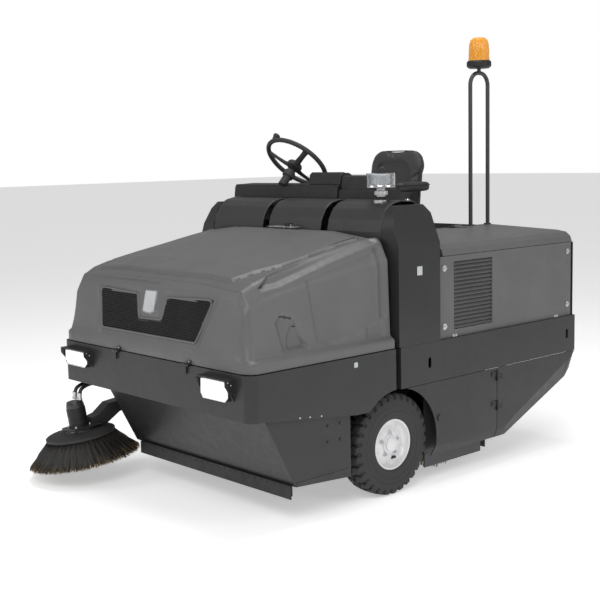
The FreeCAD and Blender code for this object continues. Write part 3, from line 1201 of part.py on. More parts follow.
def front_hood():
    """Moulded hood open below and behind, hinged along its front foot."""
    outer = Part.makeLoft([hood_section(y, b, t, z, 0) for y, b, t, z in HOOD_STATIONS], True, True)
    stations = [(y + (COVER_WALL * 1.3 if n < 3 else 0), b, t, z) for n, (y, b, t, z) in enumerate(HOOD_STATIONS)]
    stations[-1] = (HOPPER_REAR_Y + 5,) + tuple(HOOD_STATIONS[-1][1:])
    inner = Part.makeLoft([hood_section(y, b, t, z, COVER_WALL) for y, b, t, z in stations], True, True)
    shell = outer.cut(inner)
    shell = shell.cut(box(-HOOD_HALF_WIDTH + 9, HOOD_HALF_WIDTH - 9, FRONT_Y + 70, 30, HOOD_SEAM_Z - 5, HOOD_SEAM_Z + 5))
    shell = shell.cut(grille_window(0))
    parts = []
    for x in HOOD_HINGE_XS:
        knuckle = hood_knuckle(x + FACE_GAP, x + 24)
        leaf = prism_x([(HOOD_HINGE_Y, HOOD_HINGE_Z + 2), (FRONT_Y + 12, HOOD_HINGE_Z + 3), (FRONT_Y + 22, HOOD_HINGE_Z + 42),
                        (FRONT_Y + 2, HOOD_HINGE_Z + 34)], x + FACE_GAP, x + 24)
        hole = rod(V(x - 1, HOOD_HINGE_Y, HOOD_HINGE_Z), V(x + 25, HOOD_HINGE_Y, HOOD_HINGE_Z), HINGE_PIN_RADIUS + RUNNING_FIT)
        parts.append(knuckle.fuse(leaf).cut(hole))
    latch_pin = rod(V(LATCH_X - 24, LATCH_Y, LATCH_Z), V(LATCH_X + 24, LATCH_Y, LATCH_Z), HINGE_PIN_RADIUS)
    ears = [box(x, x + 5, LATCH_Y - 8, LATCH_Y + 8, HOOD_TOP_Z - 8, LATCH_Z + 6) for x in (LATCH_X - 24, LATCH_X + 19)]
    return shell.fuse(parts + [latch_pin] + ears)


LATCH_X = 35.0
LATCH_Y = -34.0
LATCH_Z = HOOD_TOP_Z + 9.0


def hood_latch():
    """Over-centre catch: a plate on a pin, with a finger lip."""
    plate = prism_x([(LATCH_Y - 9, LATCH_Z - 4), (LATCH_Y + 9, LATCH_Z - 4), (LATCH_Y + 20, LATCH_Z + 4), (LATCH_Y + 16, LATCH_Z + 9),
                     (LATCH_Y - 9, LATCH_Z + 9)], LATCH_X - 18, LATCH_X + 18)
    hole = rod(V(LATCH_X - 19, LATCH_Y, LATCH_Z), V(LATCH_X + 19, LATCH_Y, LATCH_Z), HINGE_PIN_RADIUS + RUNNING_FIT)
    return plate.cut(hole)


def grille_window(inset):
    """Opening in the hood's face: two wings joined below a notch for the badge."""
    i = inset
    y0 = FRONT_Y - 20
    points = [(-412 + i, 952 - i), (-110 - i, 942 - i), (-84 - i, 838 - i), (84 + i, 842 - i), (112 + i, 940 - i), (440 - i, 955 - i),
              (340 - i, 768 + i), (-376 + i, 768 + i)]
    return prism_y(points, y0, -740)


def hood_grille():
    """Perforated mask set in the window, and the plain badge plate above its notch."""
    mask = grille_window(FACE_GAP)
    slab = prism_x([(-842, 740), (-830, 740), (-792, 980), (-804, 980)], -470, 470)
    mask = mask.common(slab)
    badge = prism_y([(-50, 966), (50, 968), (36, 864), (0, 850), (-64, 862)], -840, -760)
    plate = prism_x([(-849.4, 740), (-843.4, 740), (-803.4, 990), (-809.4, 990)], -200, 200)
    badge = badge.common(plate)
    return group([mask, badge])


# ---- main brush ------------------------------------------------------------------------------------
def roller_tunnel():
    top = RAIL_LOW_Z
    w = TUNNEL_HALF_WIDTH
    parts = [box(-w, w, TUNNEL_FRONT_Y, TUNNEL_REAR_Y, top - 5, top)]
    for side in (-1, 1):
        x0 = min(side * w, side * (w - 5))
        parts.append(box(x0, x0 + 5, TUNNEL_FRONT_Y, TUNNEL_REAR_Y, 135, top))
        parts.append(box(x0 - 2, x0 + 7, TUNNEL_FRONT_Y, TUNNEL_REAR_Y - 40, 68, 135))
        inner = side * (ROLLER_HALF_LENGTH + 25)
        start = V(inner, ROLLER_ARM_Y, ROLLER_ARM_Z)
        parts.append(rod(start, V(side * w, ROLLER_ARM_Y, ROLLER_ARM_Z), ROLLER_PIN_RADIUS))
        blocker = side * 445
        parts.append(box(min(blocker, side * 548), max(blocker, side * 548), BAFFLE_Y, BAFFLE_Y + 4, 240, top))
    parts.append(box(-548, 548, BAFFLE_Y, TUNNEL_FRONT_Y, top - 5, top))
    parts.append(box(-w, w, TUNNEL_REAR_Y - 5, TUNNEL_REAR_Y, 80, top))
    return parts[0].fuse(parts[1:])


def roller_arms():
    """Two swinging arms tied by a tube, holding the main brush at its shaft ends."""
    parts = []
    for side in (-1, 1):
        x0 = side * (ROLLER_HALF_LENGTH + 30)
        x1 = side * (ROLLER_HALF_LENGTH + 42)
        low, high = min(x0, x1), max(x0, x1)
        arm = prism_x([(ROLLER_Y - 26, ROLLER_Z), (ROLLER_Y + 10, ROLLER_Z - 30), (ROLLER_ARM_Y + 24, ROLLER_ARM_Z - 10),
                       (ROLLER_ARM_Y + 10, ROLLER_ARM_Z + 26), (ROLLER_ARM_Y - 30, ROLLER_ARM_Z + 16)], low, high)
        eye = rod(V(low, ROLLER_ARM_Y, ROLLER_ARM_Z), V(high, ROLLER_ARM_Y, ROLLER_ARM_Z), 30)
        end = rod(V(low, ROLLER_Y, ROLLER_Z), V(high, ROLLER_Y, ROLLER_Z), 34)
        stub = rod(V(side * (ROLLER_HALF_LENGTH - 40), ROLLER_Y, ROLLER_Z), V(x1, ROLLER_Y, ROLLER_Z), ROLLER_SHAFT_RADIUS)
        body = arm.fuse([eye, end, stub])
        parts.append(body.cut(rod(V(low - 1, ROLLER_ARM_Y, ROLLER_ARM_Z), V(high + 1, ROLLER_ARM_Y, ROLLER_ARM_Z),
                                  ROLLER_PIN_RADIUS + RUNNING_FIT)))
    bar = box(-ROLLER_HALF_LENGTH - 31, ROLLER_HALF_LENGTH + 31, ROLLER_ARM_Y - 40, ROLLER_ARM_Y - 28, ROLLER_ARM_Z - 10, ROLLER_ARM_Z + 14)
    return parts[0].fuse([parts[1], bar])


def roller_brush():
    x0, x1 = -ROLLER_HALF_LENGTH, ROLLER_HALF_LENGTH
    core = rod(V(x0, ROLLER_Y, ROLLER_Z), V(x1, ROLLER_Y, ROLLER_Z), ROLLER_CORE)
    hole = rod(V(x0 - 1, ROLLER_Y, ROLLER_Z), V(x1 + 1, ROLLER_Y, ROLLER_Z), ROLLER_SHAFT_RADIUS + RUNNING_FIT)
    sleeve = rod(V(x0 + 5, ROLLER_Y, ROLLER_Z), V(x1 - 5, ROLLER_Y, ROLLER_Z), ROLLER_RADIUS)
    sleeve = sleeve.cut(rod(V(x0, ROLLER_Y, ROLLER_Z), V(x1, ROLLER_Y, ROLLER_Z), ROLLER_CORE))
    return group([core.cut(hole), sleeve])


# ---- side brush --------------------------------------------------------------------------------------
def brush_axis():
    tilt = math.radians(BRUSH_TILT)
    azimuth = math.radians(BRUSH_TILT_AZIMUTH)
    return V(math.sin(tilt) * math.cos(azimuth), math.sin(tilt) * math.sin(azimuth), math.cos(tilt))


def on_brush(shape):
    return placed(shape, V(BRUSH_X, BRUSH_Y, BRUSH_Z), brush_axis())


def side_brush_rotor():
    r, p, h = BRUSH_RADIUS, BRUSH_PLATE_RADIUS, BRUSH_HEIGHT
    plate = turned([(BRUSH_SHAFT + RUNNING_FIT, h - 34), (p, h - 34), (p, h - 16), (p - 40, h - 8), (60, h), (BRUSH_SHAFT + RUNNING_FIT, h)],
                   V(0, 0, 0))
    bristles = turned([(p - 46, h - 34), (p, h - 34), (p + 62, 60), (r, 0), (r - 70, 0), (p - 10, 60)], V(0, 0, 0))
    return group([on_brush(plate), on_brush(bristles)])


BRUSH_SHAFT = 14.0


def side_brush_arm():
    """Arm, motor bracket and hydraulic motor, swinging on a pin behind the brush."""
    h = BRUSH_HEIGHT
    motor = turned([(0, h + 16), (BRUSH_MOTOR_RADIUS, h + 16), (BRUSH_MOTOR_RADIUS, h + BRUSH_MOTOR_HEIGHT - 20),
                    (BRUSH_MOTOR_RADIUS - 6, h + BRUSH_MOTOR_HEIGHT), (0, h + BRUSH_MOTOR_HEIGHT)], V(0, 0, 0))
    shaft = turned([(0, h - 30), (BRUSH_SHAFT, h - 30), (BRUSH_SHAFT, h + 20), (0, h + 20)], V(0, 0, 0))
    plate = box(-62, 62, -62, 90, h + 4, h + 16)
    head = on_brush(motor).fuse([on_brush(shaft), on_brush(plate)])
    x0, x1 = BRUSH_ARM_X - 32, BRUSH_ARM_X + 32
    y = BRUSH_PIVOT_Y
    z = BRUSH_PIVOT_Z
    arm = prism_x([(BRUSH_Y + 30, 246), (BRUSH_Y + 110, 246), (BRUSH_Y + 190, 296), (y, z - 30), (y, z + 30), (BRUSH_Y + 130, z - 6),
                   (BRUSH_Y + 70, 300), (BRUSH_Y + 30, 290)], x0, x1)
    eye = rod(V(x0, y, z), V(x1, y, z), 30)
    body = arm.fuse([eye, head])
    return body.cut(rod(V(x0 - 1, y, z), V(x1 + 1, y, z), BRUSH_PIVOT_RADIUS + RUNNING_FIT))


HOSE_RADIUS = 9.0


def side_brush_hoses():
    """Two pressure hoses from the motor to a block on the arm, each with a turned end."""
    parts = []
    for side in (-1, 1):
        x = BRUSH_X - 30 + side * 22
        start = V(x, BRUSH_Y - 12, 376)
        points = [start, V(x, BRUSH_Y - 6, 440), V(x + 6, BRUSH_Y + 90, 462), V(BRUSH_ARM_X + side * 16, -520, 430),
                  V(BRUSH_ARM_X + side * 16, -420, 398)]
        hose = ring(points, 40, HOSE_RADIUS)
        ferrule = Part.makeCylinder(13, 24, V(x, BRUSH_Y - 12, 370), V(0, 0.09, 1))
        parts.append(hose.fuse(ferrule))
    block = box(BRUSH_ARM_X - 30, BRUSH_ARM_X + 30, -428, -396, 384, 408)
    body = parts[0].fuse([parts[1], block])
    return body.cut(side_brush_arm())


# ---- assembly ----------------------------------------------------------------------------------------
def build():
    nodes = {
        "chassis_frame": lambda: chassis_frame().fuse(cover_stays()),
        "floor_deck": lambda: floor_deck().fuse(pedal_brackets() + lid_hinge_pins()),
        "skirt_left": skirt_left,
        "skirt_right": lambda: mirrored(skirt_left()),
        "rear_side_left": rear_side_left,
        "lower_side_right": lower_side_right,
        "rear_panel": rear_panel,
        "arch_side_left": arch_side_left,
        "arch_side_right": lambda: mirrored(arch_side_left()),
        "arch_covers": arch_covers,
        "dash_panel": dash_panel,
        "instrument_cowl": instrument_cowl,
        "side_console": lambda: side_console().fuse(control_lever_ears()),
        "seat_box": lambda: seat_box().fuse(parking_lever_pin()),
        "louvre_panel": louvre_panel,
        "engine_block": engine_block,
        "beacon_mast": beacon_mast,
        "beacon_base": beacon_base,
        "beacon_dome": beacon_dome,
        "beacon_reflector": beacon_reflector,
        "air_pipe": air_pipe,
        "air_bowl": air_bowl,
        "air_lid": air_lid,
        "roller_tunnel": roller_tunnel,
        "steering_column": steering_column,
        "lift_arms": lift_arms,
        "hopper_bin": hopper_bin,
        "filter_box": filter_box,
        "hopper_bumper": hopper_bumper,
        "headlamp_left": lambda: headlamp(LAMP_LEFT),
        "headlamp_right": lambda: headlamp(LAMP_RIGHT),
        "front_hood": front_hood,
        "hood_grille": hood_grille,
        "hood_latch": hood_latch,
        "engine_lid": engine_lid,
        "roller_door": roller_door,
        "tyre_left": lambda: front_tyre(1),
        "tyre_right": lambda: front_tyre(-1),
        "rim_left": lambda: front_rim(1),
        "rim_right": lambda: front_rim(-1),
        "rear_fork": rear_fork,
        "rear_wheel": rear_wheel,
        "steering_wheel": steering_wheel,
        "spinner_knob": spinner_knob,
        "roller_arms": roller_arms,
        "roller_brush": roller_brush,
        "side_brush_arm": side_brush_arm,
        "side_brush_rotor": side_brush_rotor,
        "side_brush_hoses": side_brush_hoses,
        "seat_cushion": seat_cushion,
        "seat_back": seat_back,
        "seat_armrest": seat_armrest,
        "drive_pedal": lambda: pedal(DRIVE_PEDAL_X, 90),
        "brake_pedal": lambda: pedal(BRAKE_PEDAL_X, 70),
        "control_lever": control_lever,
        "parking_lever": parking_lever,
    }
    for number, (y, z) in enumerate(LOCK_PLACES, start=1):
        nodes["panel_lock_%d" % number] = lambda y=y, z=z: panel_lock(y, z)
    return nodes


def main():
    shapes = {}
    bounds = FreeCAD.BoundBox()
    for name, maker in build().items():
        shapes[name] = maker()
        bounds.add(shapes[name].optimalBoundingBox(False, False))
    shift = V(-bounds.Center.x, -bounds.Center.y, -bounds.ZMin)
    print("origin shift", shift, "size", bounds.XLength, bounds.YLength, bounds.ZLength)
    for name, shape in shapes.items():
        shape.translate(shift)
        shape.exportStep("parts/%s.step" % name)
    print(len(shapes), "sub-parts")


if __name__ == "__main__":
    main()
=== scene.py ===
"""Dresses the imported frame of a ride-on sweeper: moulded hood, steel body, wheels, brushes, seat and cab.

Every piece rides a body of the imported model.  Lengths are metres unless a name ends in _mm; x runs to the
machine's left, y to its rear and z up.
"""

import logging
import math
import random
from dataclasses import dataclass, field
from enum import Enum
from typing import Iterable, Sequence

import bmesh
import bpy
from mathutils import Matrix, Vector


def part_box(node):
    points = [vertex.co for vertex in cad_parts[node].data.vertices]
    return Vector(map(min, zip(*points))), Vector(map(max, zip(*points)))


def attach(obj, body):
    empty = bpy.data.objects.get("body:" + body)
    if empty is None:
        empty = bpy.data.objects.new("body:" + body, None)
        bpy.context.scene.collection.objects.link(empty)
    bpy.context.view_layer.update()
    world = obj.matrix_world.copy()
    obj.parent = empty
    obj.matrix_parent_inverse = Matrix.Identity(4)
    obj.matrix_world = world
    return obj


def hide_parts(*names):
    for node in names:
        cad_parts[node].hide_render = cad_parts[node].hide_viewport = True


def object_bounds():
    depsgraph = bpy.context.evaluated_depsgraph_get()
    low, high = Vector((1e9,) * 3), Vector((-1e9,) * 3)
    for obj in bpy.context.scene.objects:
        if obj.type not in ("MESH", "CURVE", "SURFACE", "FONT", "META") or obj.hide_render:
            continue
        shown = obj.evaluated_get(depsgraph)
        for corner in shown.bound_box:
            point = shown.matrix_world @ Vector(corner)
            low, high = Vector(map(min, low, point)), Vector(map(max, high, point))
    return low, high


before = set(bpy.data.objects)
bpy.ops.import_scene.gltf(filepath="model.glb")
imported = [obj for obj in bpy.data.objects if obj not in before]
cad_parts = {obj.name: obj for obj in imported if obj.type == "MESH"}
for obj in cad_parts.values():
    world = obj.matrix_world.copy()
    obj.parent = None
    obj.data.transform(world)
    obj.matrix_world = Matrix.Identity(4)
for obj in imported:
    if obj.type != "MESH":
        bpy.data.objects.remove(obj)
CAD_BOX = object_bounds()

log = logging.getLogger("sweeper")
Colour = tuple[float, float, float]
Flat = tuple[float, float]
Point = Sequence[float]
MM = 0.001
UP = Vector((0, 0, 1))
LEFT = Vector((1, 0, 0))
REAR = Vector((0, 1, 0))


def machine_origin() -> Vector:
    """The point on the floor, on the centre plane, under the front axle.

    Returns:
        The origin of every millimetre place in this file, in the row frame.
    """
    left_low, left_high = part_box("tyre_left")
    right_low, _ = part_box("tyre_right")
    return Vector(((left_high.x + right_low.x) / 2, (left_low.y + left_high.y) / 2, 0))


ORIGIN = machine_origin()


def at(x: float, y: float, z: float) -> Vector:
    """A place given in millimetres from the machine's origin, in the row frame."""
    return ORIGIN + Vector((x, y, z)) * MM


# ---- finishes ---------------------------------------------------------------------------------------
class Grain(Enum):
    """The fine relief of a surface: noise scale per metre, detail and height in metres."""

    MOULDED = (520.0, 3.0, 0.00022)
    COATED = (300.0, 2.0, 0.00010)
    SMOOTH = (90.0, 2.0, 0.00005)
    CAST = (160.0, 5.0, 0.0006)
    RUBBER = (420.0, 4.0, 0.0003)
    VINYL = (380.0, 2.0, 0.0006)


class Graph:
    """A material's node tree, with short calls to add and join nodes."""

    def __init__(self, name: str) -> None:
        """Starts an empty material with an output node.

        Args:
            name: The material's name.
        """
        self.material = bpy.data.materials.new(name)
        self.material.use_nodes = True
        self.tree = self.material.node_tree
        self.tree.nodes.clear()
        self.output = self.add("OutputMaterial")
        self.place = self.add("TexCoord").outputs["Object"]

    def add(self, kind: str, sockets: dict | None = None, **settings: object) -> bpy.types.Node:
        """Adds a shader node.

        Args:
            kind: The node's type, without its ShaderNode prefix.
            sockets: Values for its input sockets, by name or number.
            settings: Values for its properties.

        Returns:
            The new node.
        """
        node = self.tree.nodes.new("ShaderNode" + kind)
        for key, value in settings.items():
            setattr(node, key, value)
        for key, value in (sockets or {}).items():
            node.inputs[key].default_value = value
        return node

    def join(self, start: bpy.types.NodeSocket, end: bpy.types.NodeSocket) -> None:
        """Links an output socket to an input socket."""
        self.tree.links.new(start, end)

    def noise(self, scale: float, detail: float = 2.0, stretch: Point = (1, 1, 1)) -> bpy.types.NodeSocket:
        """Noise over the object's own coordinates.

        Args:
            scale: Features per metre.
            detail: Octaves of finer noise.
            stretch: Factor on each axis before the noise is read.

        Returns:
            The noise value's socket.
        """
        mapping = self.add("Mapping", {"Scale": Vector(stretch)})
        self.join(self.place, mapping.inputs["Vector"])
        texture = self.add("TexNoise", {"Scale": scale, "Detail": detail})
        self.join(mapping.outputs[0], texture.inputs["Vector"])
        return texture.outputs[0]

    def ramp(self, value: bpy.types.NodeSocket, low: float, high: float, start: float,
             end: float) -> bpy.types.NodeSocket:
        """Maps a value from one range to another, clamped.

        Args:
            value: The socket that is read.
            low: Input that gives start.
            high: Input that gives end.
            start: Output at low.
            end: Output at high.

        Returns:
            The mapped value's socket.
        """
        node = self.add("MapRange", {1: low, 2: high, 3: start, 4: end})
        self.join(value, node.inputs[0])
        return node.outputs[0]

    def blend(self, share: bpy.types.NodeSocket, first: Colour | bpy.types.NodeSocket,
              second: Colour) -> bpy.types.NodeSocket:
        """Mixes two colours.

        Args:
            share: How much of the second shows.
            first: A colour, or a socket that gives one.
            second: The other colour.

        Returns:
            The mixed colour's socket.
        """
        node = self.add("Mix", data_type="RGBA")
        self.join(share, node.inputs[0])
        if isinstance(first, bpy.types.NodeSocket):
            self.join(first, node.inputs[6])
        else:
            node.inputs[6].default_value = (*first, 1)
        node.inputs[7].default_value = (*second, 1)
        return node.outputs[2]

    def times(self, first: bpy.types.NodeSocket, second: bpy.types.NodeSocket) -> bpy.types.NodeSocket:
        """The product of two values."""
        node = self.add("Math", operation="MULTIPLY")
        self.join(first, node.inputs[0])
        self.join(second, node.inputs[1])
        return node.outputs[0]

    def relief(self, height: bpy.types.NodeSocket, depth: float, shader: bpy.types.Node,
               strength: float = 1.0) -> None:
        """Gives a shader a bump.

        Args:
            height: The socket with the height, from 0 to 1.
            depth: The height of 1 in metres.
            shader: The shader whose normal is set.
            strength: The bump's strength.
        """
        bump = self.add("Bump", {"Distance": depth, "Strength": strength})
        self.join(height, bump.inputs["Height"])
        self.join(bump.outputs[0], shader.inputs["Normal"])


@dataclass(frozen=True)
class Finish:
    """A painted, moulded or metal surface: two close tones, uneven gloss, fine relief and worn edges."""

    name: str
    slot: str
    colour: Colour
    shade: Colour
    roughness: float = 0.45
    spread: float = 0.08
    metallic: float = 0.0
    grain: Grain = Grain.COATED
    coat: float = 0.0
    sheen: float = 0.0
    worn: Colour = (0.3, 0.3, 0.3)
    wear: float = 0.5
    specular: float = 0.5

    def material(self) -> bpy.types.Material:
        """The material of this finish, made at its first use."""
        found = bpy.data.materials.get(self.name)
        if found is not None:
            return found
        graph = Graph(self.name)
        shader = graph.add("BsdfPrincipled", {"Metallic": self.metallic, "Coat Weight": self.coat,
                                              "Coat Roughness": 0.25, "Sheen Weight": self.sheen,
                                              "Sheen Roughness": 0.5,
                                              "Specular IOR Level": self.specular})
        graph.join(shader.outputs[0], graph.output.inputs[0])
        self.paint(graph, shader)
        return graph.material

    def tone(self, graph: Graph) -> bpy.types.NodeSocket:
        """The base colour: slow mottling, a fine fleck, and bare tone where an edge is worn."""
        slow = graph.blend(graph.ramp(graph.noise(5.0, 4.0), 0.35, 0.68, 0.0, 1.0), self.colour, self.shade)
        fleck = graph.ramp(graph.noise(760.0, 1.0), 0.55, 0.8, 0.0, 0.35)
        dusty = graph.blend(fleck, slow, tuple(min(1.0, 1.25 * c + 0.006) for c in self.colour))
        edge = graph.add("Attribute", attribute_name="edge").outputs["Fac"]
        rubbed = graph.times(edge, graph.ramp(graph.noise(70.0, 3.0), 0.5, 0.72, 0.0, self.wear))
        return graph.blend(rubbed, dusty, self.worn)

    def paint(self, graph: Graph, shader: bpy.types.Node) -> None:
        """Joins the colour, gloss and relief to the shader.

        Args:
            graph: The material's graph.
            shader: Its principled shader.
        """
        graph.join(self.tone(graph), shader.inputs["Base Color"])
        gloss = graph.ramp(graph.noise(28.0, 5.0), 0.3, 0.7, self.roughness - self.spread, self.roughness + self.spread)
        graph.join(gloss, shader.inputs["Roughness"])
        scale, detail, depth = self.grain.value
        graph.relief(graph.noise(scale, detail), depth, shader)


@dataclass(frozen=True)
class Vinyl(Finish):
    """Upholstery vinyl: a cell grain with soft creases."""

    def paint(self, graph: Graph, shader: bpy.types.Node) -> None:
        """Adds a leather-like cell pattern to the base finish."""
        super().paint(graph, shader)
        cells = graph.add("TexVoronoi", {"Scale": 420.0}, feature="SMOOTH_F1")
        graph.join(graph.place, cells.inputs["Vector"])
        folds = graph.add("Math", operation="MULTIPLY_ADD")
        folds.inputs[1].default_value = 0.6
        graph.join(cells.outputs["Distance"], folds.inputs[0])
        graph.join(graph.noise(38.0, 4.0), folds.inputs[2])
        graph.relief(folds.outputs[0], 0.0007, shader, 0.7)


@dataclass(frozen=True)
class Brushed(Finish):
    """Plated or polished metal with drawn lines along one axis."""

    stretch: tuple[float, float, float] = (1.0, 1.0, 18.0)

    def paint(self, graph: Graph, shader: bpy.types.Node) -> None:
        """Adds drawn lines to the base finish."""
        super().paint(graph, shader)
        graph.relief(graph.noise(240.0, 2.0, self.stretch), 0.00006, shader, 0.6)


@dataclass(frozen=True)
class Clear(Finish):
    """Clear or tinted plastic that light passes through, with faint moulding waves."""

    passes: float = 0.95
    index: float = 1.46

    def paint(self, graph: Graph, shader: bpy.types.Node) -> None:
        """Makes the base finish see-through."""
        shader.inputs["Transmission Weight"].default_value = self.passes
        shader.inputs["IOR"].default_value = self.index
        tint = graph.blend(graph.ramp(graph.noise(14.0, 3.0), 0.3, 0.7, 0.0, 1.0), self.colour, self.shade)
        graph.join(tint, shader.inputs["Base Color"])
        gloss = graph.ramp(graph.noise(60.0, 3.0), 0.3, 0.7, self.roughness, self.roughness + self.spread)
        graph.join(gloss, shader.inputs["Roughness"])
        graph.relief(graph.noise(55.0, 1.0), 0.0002, shader, 0.5)


@dataclass(frozen=True)
class Lamp(Finish):
    """A lamp glass over a bright reflector, with upright flutes and a weak glow."""

    glow: float = 0.55

    def paint(self, graph: Graph, shader: bpy.types.Node) -> None:
        """Adds the glow and the flutes."""
        super().paint(graph, shader)
        shader.inputs["Emission Strength"].default_value = self.glow
        shader.inputs["Emission Color"].default_value = (1.0, 1.0, 1.0, 1.0)
        flutes = graph.add("TexWave", {"Scale": 26.0, "Distortion": 0.3}, bands_direction="X")
        graph.join(graph.place, flutes.inputs["Vector"])
        graph.relief(flutes.outputs["Fac"], 0.001, shader, 0.6)


@dataclass(frozen=True)
class Bristle(Finish):
    """Brush filaments: dark at the root, with paler and golden tips on some strands."""

    tip: Colour = (0.32, 0.21, 0.08)

    def paint(self, graph: Graph, shader: bpy.types.Node) -> None:
        """Colours each strand by its own shade and by how near its tip is."""
        strand = graph.add("Attribute", attribute_name="strand").outputs["Fac"]
        reach = graph.add("Attribute", attribute_name="reach").outputs["Fac"]
        body = graph.blend(strand, self.colour, self.shade)
        near_tip = graph.times(graph.ramp(reach, 0.5, 1.0, 0.0, 1.0), graph.ramp(strand, 0.45, 0.95, 0.0, 1.0))
        graph.join(graph.blend(near_tip, body, self.tip), shader.inputs["Base Color"])
        gloss = graph.ramp(graph.noise(90.0, 2.0), 0.3, 0.7, self.roughness - self.spread, self.roughness + self.spread)
        graph.join(gloss, shader.inputs["Roughness"])
        graph.relief(graph.noise(600.0, 2.0, (1, 1, 0.2)), 0.0003, shader, 0.5)


BODY_STEEL = Finish("body_steel", "dark_steel", (0.019, 0.0195, 0.0205), (0.023, 0.0235, 0.0245), 0.42, 0.05, coat=0.08,
                    worn=(0.1, 0.1, 0.105), specular=0.38)
FRAME_PAINT = Finish("frame_paint", "frame_paint", (0.013, 0.013, 0.0135), (0.018, 0.018, 0.0185), 0.5, 0.08,
                     worn=(0.12, 0.12, 0.12), specular=0.3)
COVER_GREY = Finish("cover_grey", "grey_cover", (0.103, 0.103, 0.104), (0.114, 0.114, 0.115), 0.42, 0.05,
                    grain=Grain.MOULDED, worn=(0.34, 0.34, 0.34), wear=0.35)
COVER_DARK = Finish("cover_dark", "dark_grey_cover", (0.032, 0.0325, 0.0335), (0.037, 0.0375, 0.0385), 0.42, 0.06,
                    grain=Grain.MOULDED, worn=(0.1, 0.1, 0.1), wear=0.35, specular=0.4)
COVER_BLACK = Finish("cover_black", "black_cover", (0.014, 0.014, 0.0145), (0.019, 0.019, 0.0195), 0.48, 0.08,
                     grain=Grain.MOULDED, worn=(0.08, 0.08, 0.08), wear=0.35, specular=0.35)
PANEL_GREY = Finish("panel_grey", "grey_steel", (0.095, 0.095, 0.096), (0.108, 0.108, 0.109), 0.45, 0.05,
                    worn=(0.35, 0.35, 0.35))
MASK_BLACK = Finish("mask_black", "mesh_black", (0.011, 0.011, 0.0115), (0.018, 0.018, 0.018), 0.4, 0.1,
                    worn=(0.15, 0.15, 0.15))
CAST_METAL = Finish("cast_metal", "cast_metal", (0.16, 0.16, 0.165), (0.1, 0.1, 0.1), 0.6, 0.15, 0.6, Grain.CAST)
TYRE_RUBBER = Finish("tyre_rubber", "tyre_rubber", (0.018, 0.018, 0.0185), (0.030, 0.029, 0.028), 0.62, 0.12,
                     grain=Grain.RUBBER, worn=(0.06, 0.06, 0.06), wear=0.6, specular=0.25)
SEAL_RUBBER = Finish("seal_rubber", "seal_rubber", (0.02, 0.02, 0.02), (0.03, 0.03, 0.03), 0.7, 0.1,
                     grain=Grain.RUBBER)
RIM_SILVER = Finish("rim_silver", "rim_silver", (0.62, 0.62, 0.63), (0.52, 0.52, 0.53), 0.32, 0.08, 0.35,
                    worn=(0.4, 0.4, 0.4), coat=0.3)
SEAT_VINYL = Vinyl("seat_vinyl", "seat_vinyl", (0.022, 0.023, 0.025), (0.032, 0.033, 0.035), 0.42, 0.1,
                   grain=Grain.VINYL, sheen=0.15, worn=(0.08, 0.08, 0.08))
SEAM_THREAD = Vinyl("seam_piping", "seat_vinyl", (0.014, 0.014, 0.015), (0.02, 0.02, 0.02), 0.5, 0.1, grain=Grain.VINYL)
BRISTLES = Bristle("bristles", "bristle", (0.012, 0.011, 0.010), (0.045, 0.036, 0.026), 0.5, 0.12)
AMBER = Clear("amber_lens", "amber_lens", (0.93, 0.27, 0.012), (0.85, 0.2, 0.006), 0.08, 0.1, passes=0.75)
CLEAR = Clear("clear_bowl", "clear_lens", (0.93, 0.94, 0.95), (0.88, 0.9, 0.92), 0.06, 0.08)
LAMP_GLASS = Lamp("lamp_glass", "lamp_lens", (0.95, 0.95, 0.95), (0.88, 0.89, 0.9), 0.18, 0.05, coat=0.6)
CHROME = Brushed("chrome", "chromed", (0.78, 0.78, 0.8), (0.7, 0.7, 0.72), 0.16, 0.06, 1.0, Grain.SMOOTH)
ZINC = Brushed("zinc", "zinc_steel", (0.62, 0.62, 0.63), (0.5, 0.5, 0.52), 0.33, 0.1, 1.0, Grain.SMOOTH)
GRIP = Finish("grip_black", "grip_black", (0.020, 0.020, 0.021), (0.03, 0.03, 0.03), 0.38, 0.08, grain=Grain.MOULDED,
              worn=(0.08, 0.08, 0.08))
HOSE = Finish("hose_rubber", "hose_black", (0.02, 0.02, 0.02), (0.032, 0.032, 0.032), 0.48, 0.1, grain=Grain.RUBBER)
DARK_GLASS = Finish("display_glass", "black_cover", (0.01, 0.012, 0.014), (0.014, 0.016, 0.018), 0.12, 0.04,
                    grain=Grain.SMOOTH, coat=0.8)
LABEL_BLANK = Finish("label_blank", "grey_steel", (0.52, 0.53, 0.54), (0.45, 0.46, 0.47), 0.4, 0.08)
SIGNAL_RED = Finish("signal_red", "grip_black", (0.35, 0.02, 0.015), (0.3, 0.02, 0.015), 0.35, 0.06,
                    grain=Grain.SMOOTH, worn=(0.4, 0.1, 0.1))
PLATE_SILVER = Finish("plate_silver", "zinc_steel", (0.55, 0.55, 0.56), (0.48, 0.48, 0.49), 0.35, 0.08, 0.6,
                      worn=(0.4, 0.4, 0.4))


# ---- mesh tools -------------------------------------------------------------------------------------
def turned_to(direction: Vector, base: Vector = Vector()) -> Matrix:
    """A placement that takes +Z to a direction and the origin to a base point."""
    return Matrix.Translation(base) @ UP.rotation_difference(Vector(direction)).to_matrix().to_4x4()


